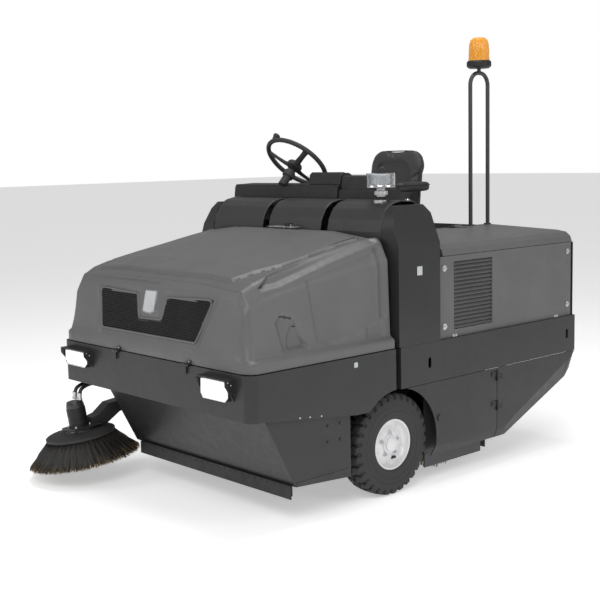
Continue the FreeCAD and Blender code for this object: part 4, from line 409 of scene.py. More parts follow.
class Shape:
    """A mesh under construction, which ends as one named piece on a body."""

    def __init__(self, name: str, finish: Finish, *more: Finish) -> None:
        """Starts an empty shape.

        Args:
            name: The piece's name.
            finish: Its main finish.
            more: Further finishes, which faces pick by number.
        """
        self.name = name
        self.finishes = (finish, *more)
        self.mesh = bmesh.new()

    def grid(self, rows: Sequence[Sequence[Point]], closed: bool = False, wrap: bool = False,
             tone: int = 0) -> list[list[bmesh.types.BMVert]]:
        """Adds a net of faces through rows of points.

        Args:
            rows: Points, row by row, all rows as long.
            closed: Joins each row's last point to its first.
            wrap: Joins the last row to the first.
            tone: The finish's number.

        Returns:
            The vertices, row by row.
        """
        verts = [[self.mesh.verts.new(p) for p in row] for row in rows]
        last_row = len(rows) if wrap else len(rows) - 1
        width = len(rows[0])
        last = width if closed else width - 1
        for i in range(last_row):
            above, below = verts[i], verts[(i + 1) % len(rows)]
            for j in range(last):
                k = (j + 1) % width
                face = self.mesh.faces.new((above[j], above[k], below[k], below[j]))
                face.material_index = tone
        return verts

    def cap(self, ring: Sequence[bmesh.types.BMVert], tone: int = 0) -> None:
        """Closes a ring of vertices with one face."""
        self.mesh.faces.new(ring).material_index = tone

    def ends(self, rows: Sequence[Sequence[bmesh.types.BMVert]], tone: int = 0) -> None:
        """Closes the first and the last ring of a net."""
        self.cap(rows[0][::-1], tone)
        self.cap(rows[-1], tone)

    def turn(self, profile: Sequence[Flat], place: Matrix, sides: int = 48, tone: int = 0) -> "Shape":
        """Adds a surface of revolution, closed at both ends of its profile.

        Args:
            profile: (radius, height) points in metres, from one end to the other.
            place: Takes the axis, +Z, to its place.
            sides: Points round the axis.
            tone: The finish's number.

        Returns:
            This shape.
        """
        self.ends(self.grid(round_rows(place, profile, sides), closed=True, tone=tone), tone)
        return self

    def prism(self, outline: Sequence[Flat], place: Matrix, low: float, high: float, round_off: float = 0.0,
              tone: int = 0) -> "Shape":
        """Adds a flat outline carried along +Z of its place, with rounded rims.

        Args:
            outline: (x, y) points in metres.
            place: Takes the outline's frame to its place.
            low: Height of the lower face.
            high: Height of the upper face.
            round_off: Radius of both rims.
            tone: The finish's number.

        Returns:
            This shape.
        """
        levels = [(low, list(outline)), (high, list(outline))]
        if round_off > 0:
            turns = (0.0, math.pi / 6, math.pi / 3, math.pi / 2)
            levels = [(low + round_off * (1 - math.cos(a)), shrink(outline, round_off * (1 - math.sin(a))))
                      for a in turns]
            levels += [(high - round_off * (1 - math.cos(a)), shrink(outline, round_off * (1 - math.sin(a))))
                       for a in reversed(turns)]
        rows = [[place @ Vector((x, y, z)) for x, y in ring] for z, ring in levels]
        self.ends(self.grid(rows, closed=True, tone=tone), tone)
        return self

    def block(self, low: Vector, high: Vector, round_off: float = 0.002, tone: int = 0) -> "Shape":
        """Adds a box between two corners, its upright edges and rims rounded.

        Args:
            low: Lowest corner.
            high: Highest corner.
            round_off: Radius of the edges.
            tone: The finish's number.

        Returns:
            This shape.
        """
        size = (high - low) / 2
        corner = min(round_off, 0.45 * min(size))
        outline = rounded(oblong(size.x, size.y), corner * 1.2, 4)
        return self.prism(outline, Matrix.Translation((low + high) / 2), -size.z, size.z, corner, tone)

    def tube(self, path: Sequence[Vector], radius: float | Sequence[float], sides: int = 12, closed: bool = False,
             tone: int = 0) -> "Shape":
        """Adds a round tube along a path.

        Args:
            path: Points of the centre line.
            radius: One radius, or one for each point.
            sides: Points round the tube.
            closed: The path ends where it starts.
            tone: The finish's number.

        Returns:
            This shape.
        """
        count = len(path)
        radii = [radius] * count if isinstance(radius, (int, float)) else list(radius)
        rows = []
        side = None
        for n, point in enumerate(path):
            before = path[n - 1] if n or closed else path[0]
            after = path[(n + 1) % count] if n < count - 1 or closed else path[-1]
            heading = (after - before).normalized()
            if side is None:
                side = heading.orthogonal().normalized()
            side = (side - heading * side.dot(heading)).normalized()
            across = heading.cross(side)
            rows.append([point + (side * math.cos(a) + across * math.sin(a)) * radii[n]
                         for a in (math.tau * k / sides for k in range(sides))])
        verts = self.grid(rows, closed=True, wrap=closed, tone=tone)
        if not closed:
            self.ends(verts, tone)
        return self

    def bolt(self, base: Vector, axis: Vector, radius: float = 0.006, height: float = 0.004, tone: int = 0) -> "Shape":
        """Adds a hexagon bolt head on its washer.

        Args:
            base: Centre of the washer's lower face.
            axis: The direction it stands in.
            radius: The head's radius.
            height: The head's height.
            tone: The finish's number.

        Returns:
            This shape.
        """
        place = turned_to(axis, base)
        self.turn([(radius * 1.45, 0), (radius * 1.45, height * 0.25), (radius * 1.35, height * 0.35)], place, 20, tone)
        self.turn([(radius, height * 0.3), (radius, height * 0.9), (radius * 0.86, height * 1.1)], place, 6, tone)
        return self

    def rivet(self, base: Vector, axis: Vector, radius: float = 0.005, tone: int = 0) -> "Shape":
        """Adds a domed rivet or button screw head."""
        profile = [(radius, 0), (radius, radius * 0.16), (radius * 0.82, radius * 0.42), (radius * 0.42, radius * 0.58),
                   (radius * 0.12, radius * 0.62)]
        return self.turn(profile, turned_to(axis, base), 16, tone)

    def done(self, body: str, replaces: Iterable[str] = (), crease: float = 38.0,
             weigh: bool = True) -> bpy.types.Object:
        """Ends the shape as a piece on a body.

        Args:
            body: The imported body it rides.
            replaces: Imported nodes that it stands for.
            crease: Edges sharper than this many degrees stay crisp.
            weigh: Lets the large faces set the shading.

        Returns:
            The finished object.
        """
        bmesh.ops.recalc_face_normals(self.mesh, faces=self.mesh.faces)
        for face in self.mesh.faces:
            face.smooth = True
        for edge in self.mesh.edges:
            edge.smooth = len(edge.link_faces) == 2 and edge.calc_face_angle(0.0) < math.radians(crease)
        data = bpy.data.meshes.new(self.name)
        self.mesh.to_mesh(data)
        self.mesh.free()
        piece = placed(self.name, data)
        for finish in self.finishes:
            data.materials.append(finish.material())
        if weigh:
            piece.modifiers.new("weigh", "WEIGHTED_NORMAL").keep_sharp = True
        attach(piece, body)
        nodes = list(replaces)
        if nodes:
            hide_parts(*nodes)
        log.info("%s rides %s", self.name, body)
        return piece


def placed(name: str, data: bpy.types.ID) -> bpy.types.Object:
    """A new object that shows its data, linked into the scene."""
    piece = bpy.data.objects.new(name, data)
    bpy.context.scene.collection.objects.link(piece)
    return piece


def polar(place: Matrix, radius: float, angle: float, height: float) -> Vector:
    """A point at a radius, angle and height about a place's +Z."""
    return place @ Vector((radius * math.cos(angle), radius * math.sin(angle), height))


def round_rows(place: Matrix, profile: Sequence[Flat], sides: int) -> list[list[Vector]]:
    """The rings that (radius, height) pairs sweep out about a place's +Z."""
    return [[polar(place, a, math.tau * n / sides, b) for n in range(sides)] for a, b in profile]


def oblong(x: float, y: float) -> list[Flat]:
    """A rectangle's corners about the origin, from its half sides."""
    return [(-x, -y), (x, -y), (x, y), (-x, y)]


def shrink(outline: Sequence[Flat], inset: float) -> list[Flat]:
    """Moves a closed counter-clockwise outline inwards.

    Args:
        outline: (x, y) points.
        inset: The distance.

    Returns:
        The moved points, as many as before.
    """
    if inset <= 0:
        return list(outline)
    count = len(outline)
    moved = []
    for n in range(count):
        before, here, after = Vector(outline[n - 1]), Vector(outline[n]), Vector(outline[(n + 1) % count])
        first = (here - before).normalized()
        second = (after - here).normalized()
        bend = Vector((-first.y - second.y, first.x + second.x))
        scale = 1.0 + first.dot(second)
        moved.append(tuple(here + bend * (inset / max(scale, 0.35))))
    return moved


def rounded(outline: Sequence[Flat], radius: float | Sequence[float], steps: int = 6,
            closed: bool = True) -> list[Flat]:
    """Rounds the corners of an outline.

    Args:
        outline: (x, y) points.
        radius: One radius, or one for each point.
        steps: Points on each rounded corner, less one.
        closed: The last point joins the first.

    Returns:
        The new outline.
    """
    count = len(outline)
    radii = [radius] * count if isinstance(radius, (int, float)) else list(radius)
    found: list[Flat] = []
    for n in range(count):
        here = Vector(outline[n])
        if not closed and n in (0, count - 1):
            found.append(tuple(here))
            continue
        back = Vector(outline[n - 1]) - here
        on = Vector(outline[(n + 1) % count]) - here
        half = back.angle(on) / 2
        reach = min(radii[n] / max(math.tan(half), 1e-6), 0.48 * back.length, 0.48 * on.length)
        if half > 1.5 or reach < 1e-6:
            found.append(tuple(here))
            continue
        start, end = here + back.normalized() * reach, here + on.normalized() * reach
        for k in range(steps + 1):
            t = k / steps
            found.append(tuple(start * (1 - t) ** 2 + here * 2 * t * (1 - t) + end * t * t))
    return found


def seam(points: Sequence[Vector], steps: int = 8, closed: bool = False) -> list[Vector]:
    """A smooth line through points.

    Args:
        points: Places on the line.
        steps: Points for each span.
        closed: The line ends where it starts.

    Returns:
        The points of the smooth line.
    """
    count = len(points)
    line = []
    spans = count if closed else count - 1
    for n in range(spans):
        a = points[(n - 1) % count] if closed or n else points[0]
        b, c = points[n], points[(n + 1) % count]
        d = points[(n + 2) % count] if closed or n + 2 < count else points[-1]
        for k in range(steps):
            t = k / steps
            line.append(0.5 * (2 * b + (c - a) * t + (2 * a - 5 * b + 4 * c - d) * t * t
                               + (3 * b - a - 3 * c + d) * t ** 3))
    if not closed:
        line.append(points[-1])
    return line


def distance_to(outline: Sequence[Flat], x: float, y: float) -> float:
    """Signed distance from a point to a closed outline, negative inside.

    Args:
        outline: (x, y) points.
        x: The point's first coordinate.
        y: Its second.

    Returns:
        The distance.
    """
    best = 1e9
    inside = False
    ax, ay = outline[-1]
    for bx, by in outline:
        dx, dy = bx - ax, by - ay
        t = max(0.0, min(1.0, ((x - ax) * dx + (y - ay) * dy) / (dx * dx + dy * dy)))
        best = min(best, math.hypot(x - ax - t * dx, y - ay - t * dy))
        if (ay > y) != (by > y) and x < ax + (y - ay) / (by - ay) * dx:
            inside = not inside
        ax, ay = bx, by
    return -best if inside else best


def step(value: float, low: float, high: float) -> float:
    """A smooth rise from 0 at low to 1 at high."""
    t = max(0.0, min(1.0, (value - low) / (high - low)))
    return t * t * (3 - 2 * t)


def soften(node: str, body: str, finish: Finish, width: float = 0.0015, angle: float = 28.0, segments: int = 2,
           name: str | None = None) -> bpy.types.Object:
    """Stands a piece with rounded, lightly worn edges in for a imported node.

    Args:
        node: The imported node.
        body: The body it rides.
        finish: Its finish.
        width: Reach of the rounding.
        angle: Edges sharper than this many degrees are rounded.
        segments: Facets on each rounded edge.
        name: The piece's name, when it isn't the node's with _shell.

    Returns:
        The finished object.
    """
    shape = Shape(name or node + "_shell", finish)
    work = shape.mesh
    work.from_mesh(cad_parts[node].data)
    bmesh.ops.remove_doubles(work, verts=work.verts, dist=2e-5)
    bmesh.ops.dissolve_limit(work, angle_limit=math.radians(0.5), verts=work.verts, edges=work.edges)
    sharp = [e for e in work.edges if len(e.link_faces) == 2 and e.calc_face_angle(0.0) > math.radians(angle)]
    made = bmesh.ops.bevel(work, geom=sharp, offset=width, offset_type="OFFSET", segments=segments, profile=0.5,
                           affect="EDGES", clamp_overlap=True)
    layer = work.loops.layers.float.new("edge")
    for face in made["faces"]:
        for loop in face.loops:
            loop[layer] = 1.0
    for face in work.faces:
        face.material_index = 0
    return shape.done(body, (node,))


def dress(node: str, finish: Finish) -> None:
    """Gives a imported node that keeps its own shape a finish."""
    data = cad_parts[node].data
    data.materials.clear()
    data.materials.append(finish.material())


# ---- lifting front module ---------------------------------------------------------------------------
GRILLE_OUTLINE: tuple[Flat, ...] = (
    (-412.0, 952.0), (-110.0, 942.0), (-84.0, 838.0), (84.0, 842.0), (112.0, 940.0), (440.0, 955.0),
    (340.0, 768.0), (-376.0, 768.0))


@dataclass
class Hood:
    """The moulded hood: a flange over the bumper, a raised bonnet panel, pressed creases and side recesses."""

    body: str = "hood"
    stations: tuple[tuple[float, float, float, float], ...] = (
        (-848.0, 640.0, 552.0, 716.0), (-838.0, 676.0, 585.0, 760.0), (-826.0, 692.0, 600.0, 868.0),
        (-806.0, 703.0, 612.0, 985.0), (-786.0, 703.0, 618.0, 1024.0), (-730.0, 703.0, 626.0, 1052.0),
        (-620.0, 703.0, 632.0, 1083.0), (-480.0, 703.0, 636.0, 1112.0), (-340.0, 703.0, 640.0, 1139.0),
        (-200.0, 703.0, 643.0, 1166.0), (-90.0, 703.0, 646.0, 1185.0), (-12.5, 703.0, 646.0, 1195.0))
    foot_z: float = 678.5
    flange_height: float = 40.0
    bumper_corner: float = 52.0
    wall: float = 5.0
    widest: float = 703.0
    rows: int = 150
    columns: int = 240
    grille: tuple[Flat, ...] = GRILLE_OUTLINE
    corner_recess: tuple[Flat, ...] = ((-668.0, 868.0), (-640.0, 893.0), (-573.0, 876.0), (-541.0, 800.0),
                                       (-505.0, 745.0), (-640.0, 745.0))
    pocket: tuple[Flat, ...] = ((-606.0, 745.0), (-604.0, 800.0), (-578.0, 842.0), (-536.0, 846.0), (-505.0, 752.0))
    side_panel: tuple[Flat, ...] = ((-486.0, 1018.0), (-340.0, 1049.0), (-84.0, 1100.0), (-76.0, 810.0),
                                    (-214.0, 764.0),
                                    (-390.0, 742.0), (-452.0, 760.0))
    shoulder_band: tuple[Flat, ...] = ((-720.0, 1000.0), (-640.0, 1052.0), (-340.0, 1117.0), (-40.0, 1178.0),
                                       (-34.0, 1150.0), (-340.0, 1082.0), (-620.0, 1012.0))
    rear_notch: tuple[Flat, ...] = ((-164.0, 740.0), (-150.0, 786.0), (-60.0, 812.0), (-50.0, 745.0))
    bonnet: tuple[Flat, ...] = ((-520.0, -740.0), (60.0, -752.0), (470.0, -742.0), (540.0, -500.0), (560.0, -60.0),
                                (-560.0, -60.0), (-548.0, -500.0))

    def section(self, y: float) -> tuple[float, float, float]:
        """The half width at the foot, half width on top and top height at a distance along the hood."""
        for first, second in zip(self.stations, self.stations[1:]):
            if y <= second[0]:
                share = max(0.0, (y - first[0]) / (second[0] - first[0]))
                return tuple(a + (b - a) * share for a, b in zip(first[1:], second[1:]))
        return self.stations[-1][1:]

    def profile(self, y: float) -> list[Flat]:
        """The right half of a cross-section, from the foot to the top's middle, in millimetres."""
        foot, top, crown = self.section(y)
        corner = self.bumper_corner
        into = y - self.stations[0][0]
        if into < corner:
            foot = min(foot, self.widest - corner + math.sqrt(max(0.0, corner ** 2 - (corner - into) ** 2)))
        z1 = min(self.foot_z + self.flange_height, crown - 12)
        z2 = min(z1 + 14, crown - 8)
        rise = crown - z2
        hip = foot - 26
        points = [(foot, self.foot_z), (foot, z1), (hip, z2), (hip * 0.45 + (top + 20) * 0.55, z2 + rise * 0.36),
                  (top + 20, z2 + rise * 0.72), (top - 30, crown - rise * 0.07), (top * 0.5, crown), (0.0, crown + 0.4)]
        radii = (0, 10, 16, 200, 46, 60, 200, 0)
        return rounded(points, radii, 7, closed=False)

    def resampled(self, outline: Sequence[Flat], count: int) -> list[Flat]:
        """An open outline with its points spaced evenly."""
        lengths = [0.0]
        for a, b in zip(outline, outline[1:]):
            lengths.append(lengths[-1] + math.dist(a, b))
        found, n = [], 0
        for k in range(count):
            target = lengths[-1] * k / (count - 1)
            while n < len(lengths) - 2 and lengths[n + 1] < target:
                n += 1
            t = (target - lengths[n]) / max(lengths[n + 1] - lengths[n], 1e-9)
            found.append((outline[n][0] + (outline[n + 1][0] - outline[n][0]) * t,
                          outline[n][1] + (outline[n + 1][1] - outline[n][1]) * t))
        return found

    def pressed(self, x: float, y: float, z: float) -> tuple[float, float, float]:
        """How far the skin is pressed in at a place.

        Args:
            x: Millimetres to the left.
            y: Millimetres to the rear.
            z: Height in millimetres.

        Returns:
            Inward shifts along x, y and z, in millimetres, as signed offsets to add.
        """
        dx = dy = dz = 0.0
        side = 1.0 if x > 0 else -1.0
        if abs(x) > 520 and y > -806 and z > 735:
            depth = 19 * step(-distance_to(self.corner_recess, y, z), -6, 12)
            depth += 8 * step(-distance_to(self.pocket, y, z), -3, 5)
            depth += 23 * step(-distance_to(self.shoulder_band, y, z), -6, 8)
            depth += 7 * step(-distance_to(self.side_panel, y, z), -3, 3)
            depth += 9 * step(-distance_to(self.rear_notch, y, z), -3, 4)
            rib = abs(y + 52.0)
            depth += 10 * step(26 - rib, 0, 12) * step(z, 812, 832) * step(1128 - z, 0, 20)
            dx -= side * depth
        if z > 1000 and y > -790:
            rim = -distance_to(self.bonnet, x, y)
            dz -= 10 * (1 - step(rim, -5, 4)) * step(600 - abs(x), 0, 60)
            groove = math.exp(-((rim + 1) / 5.0) ** 2)
            dz -= 5 * groove * step(610 - abs(x), 0, 30)
        if y < -700 and 960 < z < 1040:
            line = math.exp(-((z - 1000.0) / 5.0) ** 2) * step(x, -515, -480) * step(70 - x, 0, 40)
            dy += 5 * line
            dz -= 2 * line
        if y < -730 and z < 1000:
            frame_edge = distance_to(self.grille, x, z)
            dy += 5 * step(30 - frame_edge, 0, 9)
        return dx, dy, dz

    def build(self) -> None:
        """Makes the hood's skin, its hinge leaves, latch ears and rear lip."""
        half = self.columns // 2
        first, last = self.stations[0][0], self.stations[-1][0]
        ys = []
        for n in range(self.rows):
            t = n / (self.rows - 1)
            ys.append(first + (last - first) * (0.28 * t + 0.72 * t ** 1.9))
        for edge in (-806.0, -786.0):
            nearest = min(range(len(ys)), key=lambda k: abs(ys[k] - edge))
            ys[nearest] = edge
        outer, inner = [], []
        for y in ys:
            right = self.resampled(self.profile(y), half + 1)
            line = right + [(-x, z) for x, z in reversed(right[:-1])]
            row = []
            for x, z in line:
                dx, dy, dz = self.pressed(x, y, z)
                row.append(at(x + dx, y + dy, z + dz))
            outer.append(row)
            foot = self.section(y)[0]
            shrinkage = 1 - self.wall / foot
            inner.append([Vector((ORIGIN.x + (p.x - ORIGIN.x) * shrinkage, p.y + (self.wall * MM if y < -700 else 0.0),
                                  p.z - self.wall * MM * step((p.z / MM - self.foot_z), 0, 30))) for p in row])
        shape = Shape("hood_skin", COVER_GREY, COVER_BLACK)
        skin = shape.grid(outer)
        lining = shape.grid(inner, tone=1)
        for n in range(len(skin) - 1):
            shape.mesh.faces.new((skin[n][0], skin[n + 1][0], lining[n + 1][0], lining[n][0]))
            shape.mesh.faces.new((skin[n + 1][-1], skin[n][-1], lining[n][-1], lining[n + 1][-1]))
        for n in range(len(skin[0]) - 1):
            shape.mesh.faces.new((skin[-1][n], skin[-1][n + 1], lining[-1][n + 1], lining[-1][n]))
        self.open_window(shape)
        front = [v for v in skin[0] if v.is_valid]
        shape.mesh.faces.new(front[::-1])
        shape.mesh.faces.new([v for v in lining[0] if v.is_valid])
        shape.done(self.body, ("front_hood",), crease=50, weigh=False)
        self.fittings()

    def open_window(self, shape: Shape) -> None:
        """Takes the faces behind the grille out of the skin and its lining."""
        gone = []
        for face in shape.mesh.faces:
            middle = (face.calc_center_median() - ORIGIN) / MM
            if middle.y < -760 and distance_to(self.grille, middle.x, middle.z) < -6:
                gone.append(face)
        bmesh.ops.delete(shape.mesh, geom=gone, context="FACES")

    def fittings(self) -> None:
        """The hinge leaves on the front foot and the latch ears on top."""
        _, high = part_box("front_hood")
        latch_low, latch_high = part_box("hood_latch")
        leaves = Shape("hood_hinge_leaves", MASK_BLACK, ZINC)
        for x in (-229.0, 302.0):
            for shift in (0.0, 12.0):
                leaves.turn([(0.0055, 0), (0.0078, 0.0008), (0.0078, 0.0108), (0.0055, 0.0116)],
                            turned_to(LEFT, at(x + 0.5 + shift, -862, 677)), 20)
            leaves.prism(oblong(0.012, 0.012),
                         turned_to((0, -0.8, 0.6), at(x + 12.5, -850, 688)), 0.0, 0.004, 0.001)
            leaves.rivet(at(x + 12.5, -853.5, 690.0), Vector((0, -0.8, 0.6)), 0.004, tone=1)
        leaves.done(self.body)
        ears = Shape("hood_latch_ears", ZINC)
        for x in (latch_low.x - 0.0055, latch_high.x + 0.0005):
            ears.block(Vector((x, latch_low.y + 0.004, high.z - 0.028)),
                       Vector((x + 0.005, latch_low.y + 0.016, high.z - 0.001)),
                       0.0015)
        ears.tube([Vector((latch_low.x - 0.005, latch_low.y + 0.009, latch_low.z + 0.006)),
                   Vector((latch_high.x + 0.005, latch_low.y + 0.009, latch_low.z + 0.006))], 0.003, 12)
        ears.done(self.body)


@dataclass
class Grille:
    """The perforated mask in the hood's face, its rim and the blank badge plate."""

    body: str = "hood"
    pitch: float = 9.5
    web: float = 0.30
    depth: float = 3.0
    outline: tuple[Flat, ...] = GRILLE_OUTLINE
    badge: tuple[Flat, ...] = ((-50.0, 966.0), (50.0, 968.0), (36.0, 872.0), (4.0, 858.0), (-36.0, 860.0),
                               (-60.0, 868.0))

    def depth_at(self, z: float) -> float:
        """Where the mask's front lies at a height, in millimetres along y."""
        return -841.0 + (z - 740.0) * 38.0 / 240.0

    def build(self) -> None:
        """Makes the honeycomb, its rim bead and the badge plate."""
        shape = Shape("grille_honeycomb", MASK_BLACK)
        radius = self.pitch / math.sqrt(3)
        cache: dict[tuple[int, int, int], bmesh.types.BMVert] = {}
        for row in range(-4, 34):
            for column in range(-50, 52):
                cx = column * self.pitch + (row % 2) * self.pitch / 2
                cz = 760.0 + row * radius * 1.5
                reach = distance_to(self.outline, cx, cz)
                if reach > -1.0:
                    continue
                solid = reach > -8.0
                outer, inner, back = [], [], []
                for k in range(6):
                    angle = math.radians(60 * k + 30)
                    x, z = cx + radius * math.cos(angle), cz + radius * math.sin(angle)
                    key = (round(x * 4), round(z * 4), 0)
                    if key not in cache:
                        cache[key] = shape.mesh.verts.new(at(x, self.depth_at(z) + 1.2, z))
                    outer.append(cache[key])
                    if not solid:
                        s = 1 - self.web
                        xi, zi = cx + radius * s * math.cos(angle), cz + radius * s * math.sin(angle)
                        inner.append(shape.mesh.verts.new(at(xi, self.depth_at(zi), zi)))
                        back.append(shape.mesh.verts.new(at(xi, self.depth_at(zi) + self.depth, zi)))
                if solid:
                    shape.mesh.faces.new(outer)
                    continue
                for k in range(6):
                    m = (k + 1) % 6
                    shape.mesh.faces.new((outer[k], outer[m], inner[m], inner[k]))
                    shape.mesh.faces.new((inner[k], inner[m], back[m], back[k]))
        shape.done(self.body, ("hood_grille",), crease=25, weigh=False)
        # painted shade: a black sheet behind the honeycomb so the holes read dark
        self.painted_shade_sheet()
        rim = Shape("grille_rim", COVER_GREY)
        outline = rounded(self.outline, (26, 18, 18, 18, 18, 26, 22, 22), 6)
        line = [at(x, self.depth_at(z) + 1.5, z) for x, z in outline]
        rim.tube(line, 0.0052, 10, closed=True)
        rim.done(self.body, weigh=False)
        self.plate()

    def painted_shade_sheet(self) -> None:
        """A black sheet behind the holes: painted shade for the dark space seen through them."""
        # painted shade: black sheet set just behind the holes, standing in for the shade beyond them
        shape = Shape("grille_painted_shade", COVER_BLACK)
        outline = rounded(self.outline[::-1], 20, 4)
        rows = [[at(x, self.depth_at(z) + back, z) for x, z in outline] for back in (9.0, 12.0)]
        shape.ends(shape.grid(rows, closed=True))
        shape.done(self.body, weigh=False)

    def plate(self) -> None:
        """The blank badge plate in its frame above the notch."""
        lean = turned_to((0, -240.0, 38.0), at(0, self.depth_at(910.0) - 3.0, 910.0))
        flat = []
        for x, z in self.badge:
            local = lean.inverted() @ at(x, self.depth_at(z) - 3.0, z)
            flat.append((local.x, local.y))
        area = sum(a[0] * b[1] - b[0] * a[1] for a, b in zip(flat, flat[1:] + flat[:1]))
        if area < 0:
            flat.reverse()
        flat = rounded(flat, 0.008, 4)
        surround = Shape("badge_surround", COVER_GREY)
        surround.prism(shrink(flat, -0.0001), lean, -0.006, 0.0005, 0.0008)
        surround.done(self.body)
        plate = Shape("badge_plate", CHROME, LABEL_BLANK)
        plate.prism(shrink(flat, 0.003), lean, 0.0, 0.0022, 0.0009)
        plate.prism(shrink(flat, 0.008), lean, 0.0018, 0.0028, 0.0004, tone=1)
        plate.done(self.body)


@dataclass
class Bumper:
    """The wrap-round steel bumper with its lamps, shades, hinge leaves, rivets and blank label."""

    body: str = "hopper"
    lamps: tuple[tuple[str, float, float, float, float], ...] = (
        ("headlamp_right", -643.0, -452.0, 566.0, 641.0), ("headlamp_left", 424.0, 602.0, 559.0, 646.0))

    def build(self) -> None:
        """Makes the bumper, both lamps and the small fixings."""
        soften("hopper_bumper", self.body, BODY_STEEL, 0.0022, 32, 2)
        for name, x0, x1, z0, z1 in self.lamps:
            self.lamp(name, x0, x1, z0, z1)
        self.fixings()

    def lamp(self, name: str, x0: float, x1: float, z0: float, z1: float) -> None:
        """Makes one headlamp: a housing, a fluted glass and its rim.

        Args:
            name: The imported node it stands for.
            x0: Its right side, in millimetres.
            x1: Its left side.
            z0: Its lowest line.
            z1: Its top.
        """
        cx, cz = (x0 + x1) / 2, (z0 + z1) / 2
        half_x, half_z = (x1 - x0) / 2 * MM, (z1 - z0) / 2 * MM
        outline = [(-half_x, -half_z + 0.016), (-half_x + 0.012, -half_z), (half_x - 0.02, -half_z),
                   (half_x, -half_z + 0.02), (half_x, half_z), (-half_x, half_z)]
        outline = rounded(outline, 0.010, 5)
        place = Matrix.Translation(at(cx, -853, cz)) @ Matrix.Rotation(math.pi / 2, 4, "X")
        housing = Shape(name + "_housing", MASK_BLACK)
        housing.prism(outline, place, 0.0002, 0.024, 0.002)
        housing.done(self.body, (name,))
        rim = Shape(name + "_rim", CHROME)
        line = [place @ Vector((x, y, 0.0255)) for x, y in shrink(outline, 0.003)]
        rim.tube(line, 0.0028, 8, closed=True)
        rim.done(self.body, weigh=False)
        glass = Shape(name + "_glass", LAMP_GLASS)
        rings = []
        for k in range(9):
            t = k / 8
            bulge = 0.0335 - 0.008 * (1 - t) ** 2
            rings.append([place @ Vector((x * (1 - t), y * (1 - t), bulge)) for x, y in shrink(outline, 0.0035)])
        foot = [place @ Vector((x, y, 0.022)) for x, y in shrink(outline, 0.0035)]
        glass.ends(glass.grid([foot] + rings[:-1], closed=True))
        glass.done(self.body, crease=50, weigh=False)

    def fixings(self) -> None:
        """Cheek bolts on the shades, bolts under the bumper's edge and a blank label."""
        bolts = Shape("bumper_bolts", ZINC)
        for _, x0, x1, _, z1 in self.lamps:
            for x in (x0 - 10.5, x1 + 10.5):
                side = LEFT if x > (x0 + x1) / 2 else -LEFT
                for y, z in ((-868.0, z1 - 14.0), (-884.0, z1 - 2.0)):
                    bolts.rivet(at(x - side.x * 1.6, y, z), side, 0.0032)
        for y, z in ((-591.0, 452.0), (-535.0, 446.0), (-470.0, 439.0)):
            for side in (-1, 1):
                bolts.rivet(at(side * 710.0 - side * 1.5, y, z + 14), LEFT * side, 0.0045)
        bolts.done(self.body)
        label = Shape("bumper_label", LABEL_BLANK)
        label.prism(rounded(oblong(0.011, 0.011), 0.003, 3),
                    turned_to(LEFT, at(708.9, -262.0, 640.0)), 0.0, 0.0014, 0.0003)
        label.done(self.body)


@dataclass
class Hopper:
    """The debris bin, filter box, its rubber lip and the lift arms."""

    body: str = "hopper"

    def build(self) -> None:
        """Makes the steel shells and the lip with its rivets."""
        soften("hopper_bin", self.body, BODY_STEEL, 0.0015)
        soften("filter_box", self.body, FRAME_PAINT, 0.0015)
        soften("lift_arms", "lift", FRAME_PAINT, 0.003)
        low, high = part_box("hopper_bin")
        lip = Shape("hopper_lip", SEAL_RUBBER, BODY_STEEL)
        left, right = high.x - 0.02, low.x + 0.05
        for k in range(2):
            rows = []
            for n in range(60):
                t = n / 59
                x = left + (right - left) * t
                sag = 0.0012 * math.sin(14 * math.pi * t) * k
                rows.append([Vector((x, at(0, -620.6 + 0.4 * k, 0).y + sag, at(0, 0, z).z))
                             for z in (118.0, 126.0, 150.0, 176.0)])
            if k == 0:
                front = lip.grid(rows)
            else:
                back = lip.grid([[p + Vector((0, 0.0035, 0)) for p in row] for row in rows])
        for n in range(59):
            for edge in (0, -1):
                ring = (front[n][edge], front[n + 1][edge], back[n + 1][edge], back[n][edge])
                lip.mesh.faces.new(ring if edge else ring[::-1])
        for n in range(26):
            x = left + (right - left) * (n + 0.5) / 26
            lip.rivet(Vector((x, at(0, -620.9, 0).y, at(0, 0, 166).z)), -REAR, 0.0045, tone=1)
        lip.done(self.body, weigh=False)


# ---- wheels and brushes -----------------------------------------------------------------------------
# places across the tyre: the tread ends at 1, the shoulder lugs run on to SHOULDER_TO
SIDE_WALL = 9.0
SHOULDER_FROM, SHOULDER_TO = 1.05, 1.35
GOLDEN_TURN = 0.61803398875


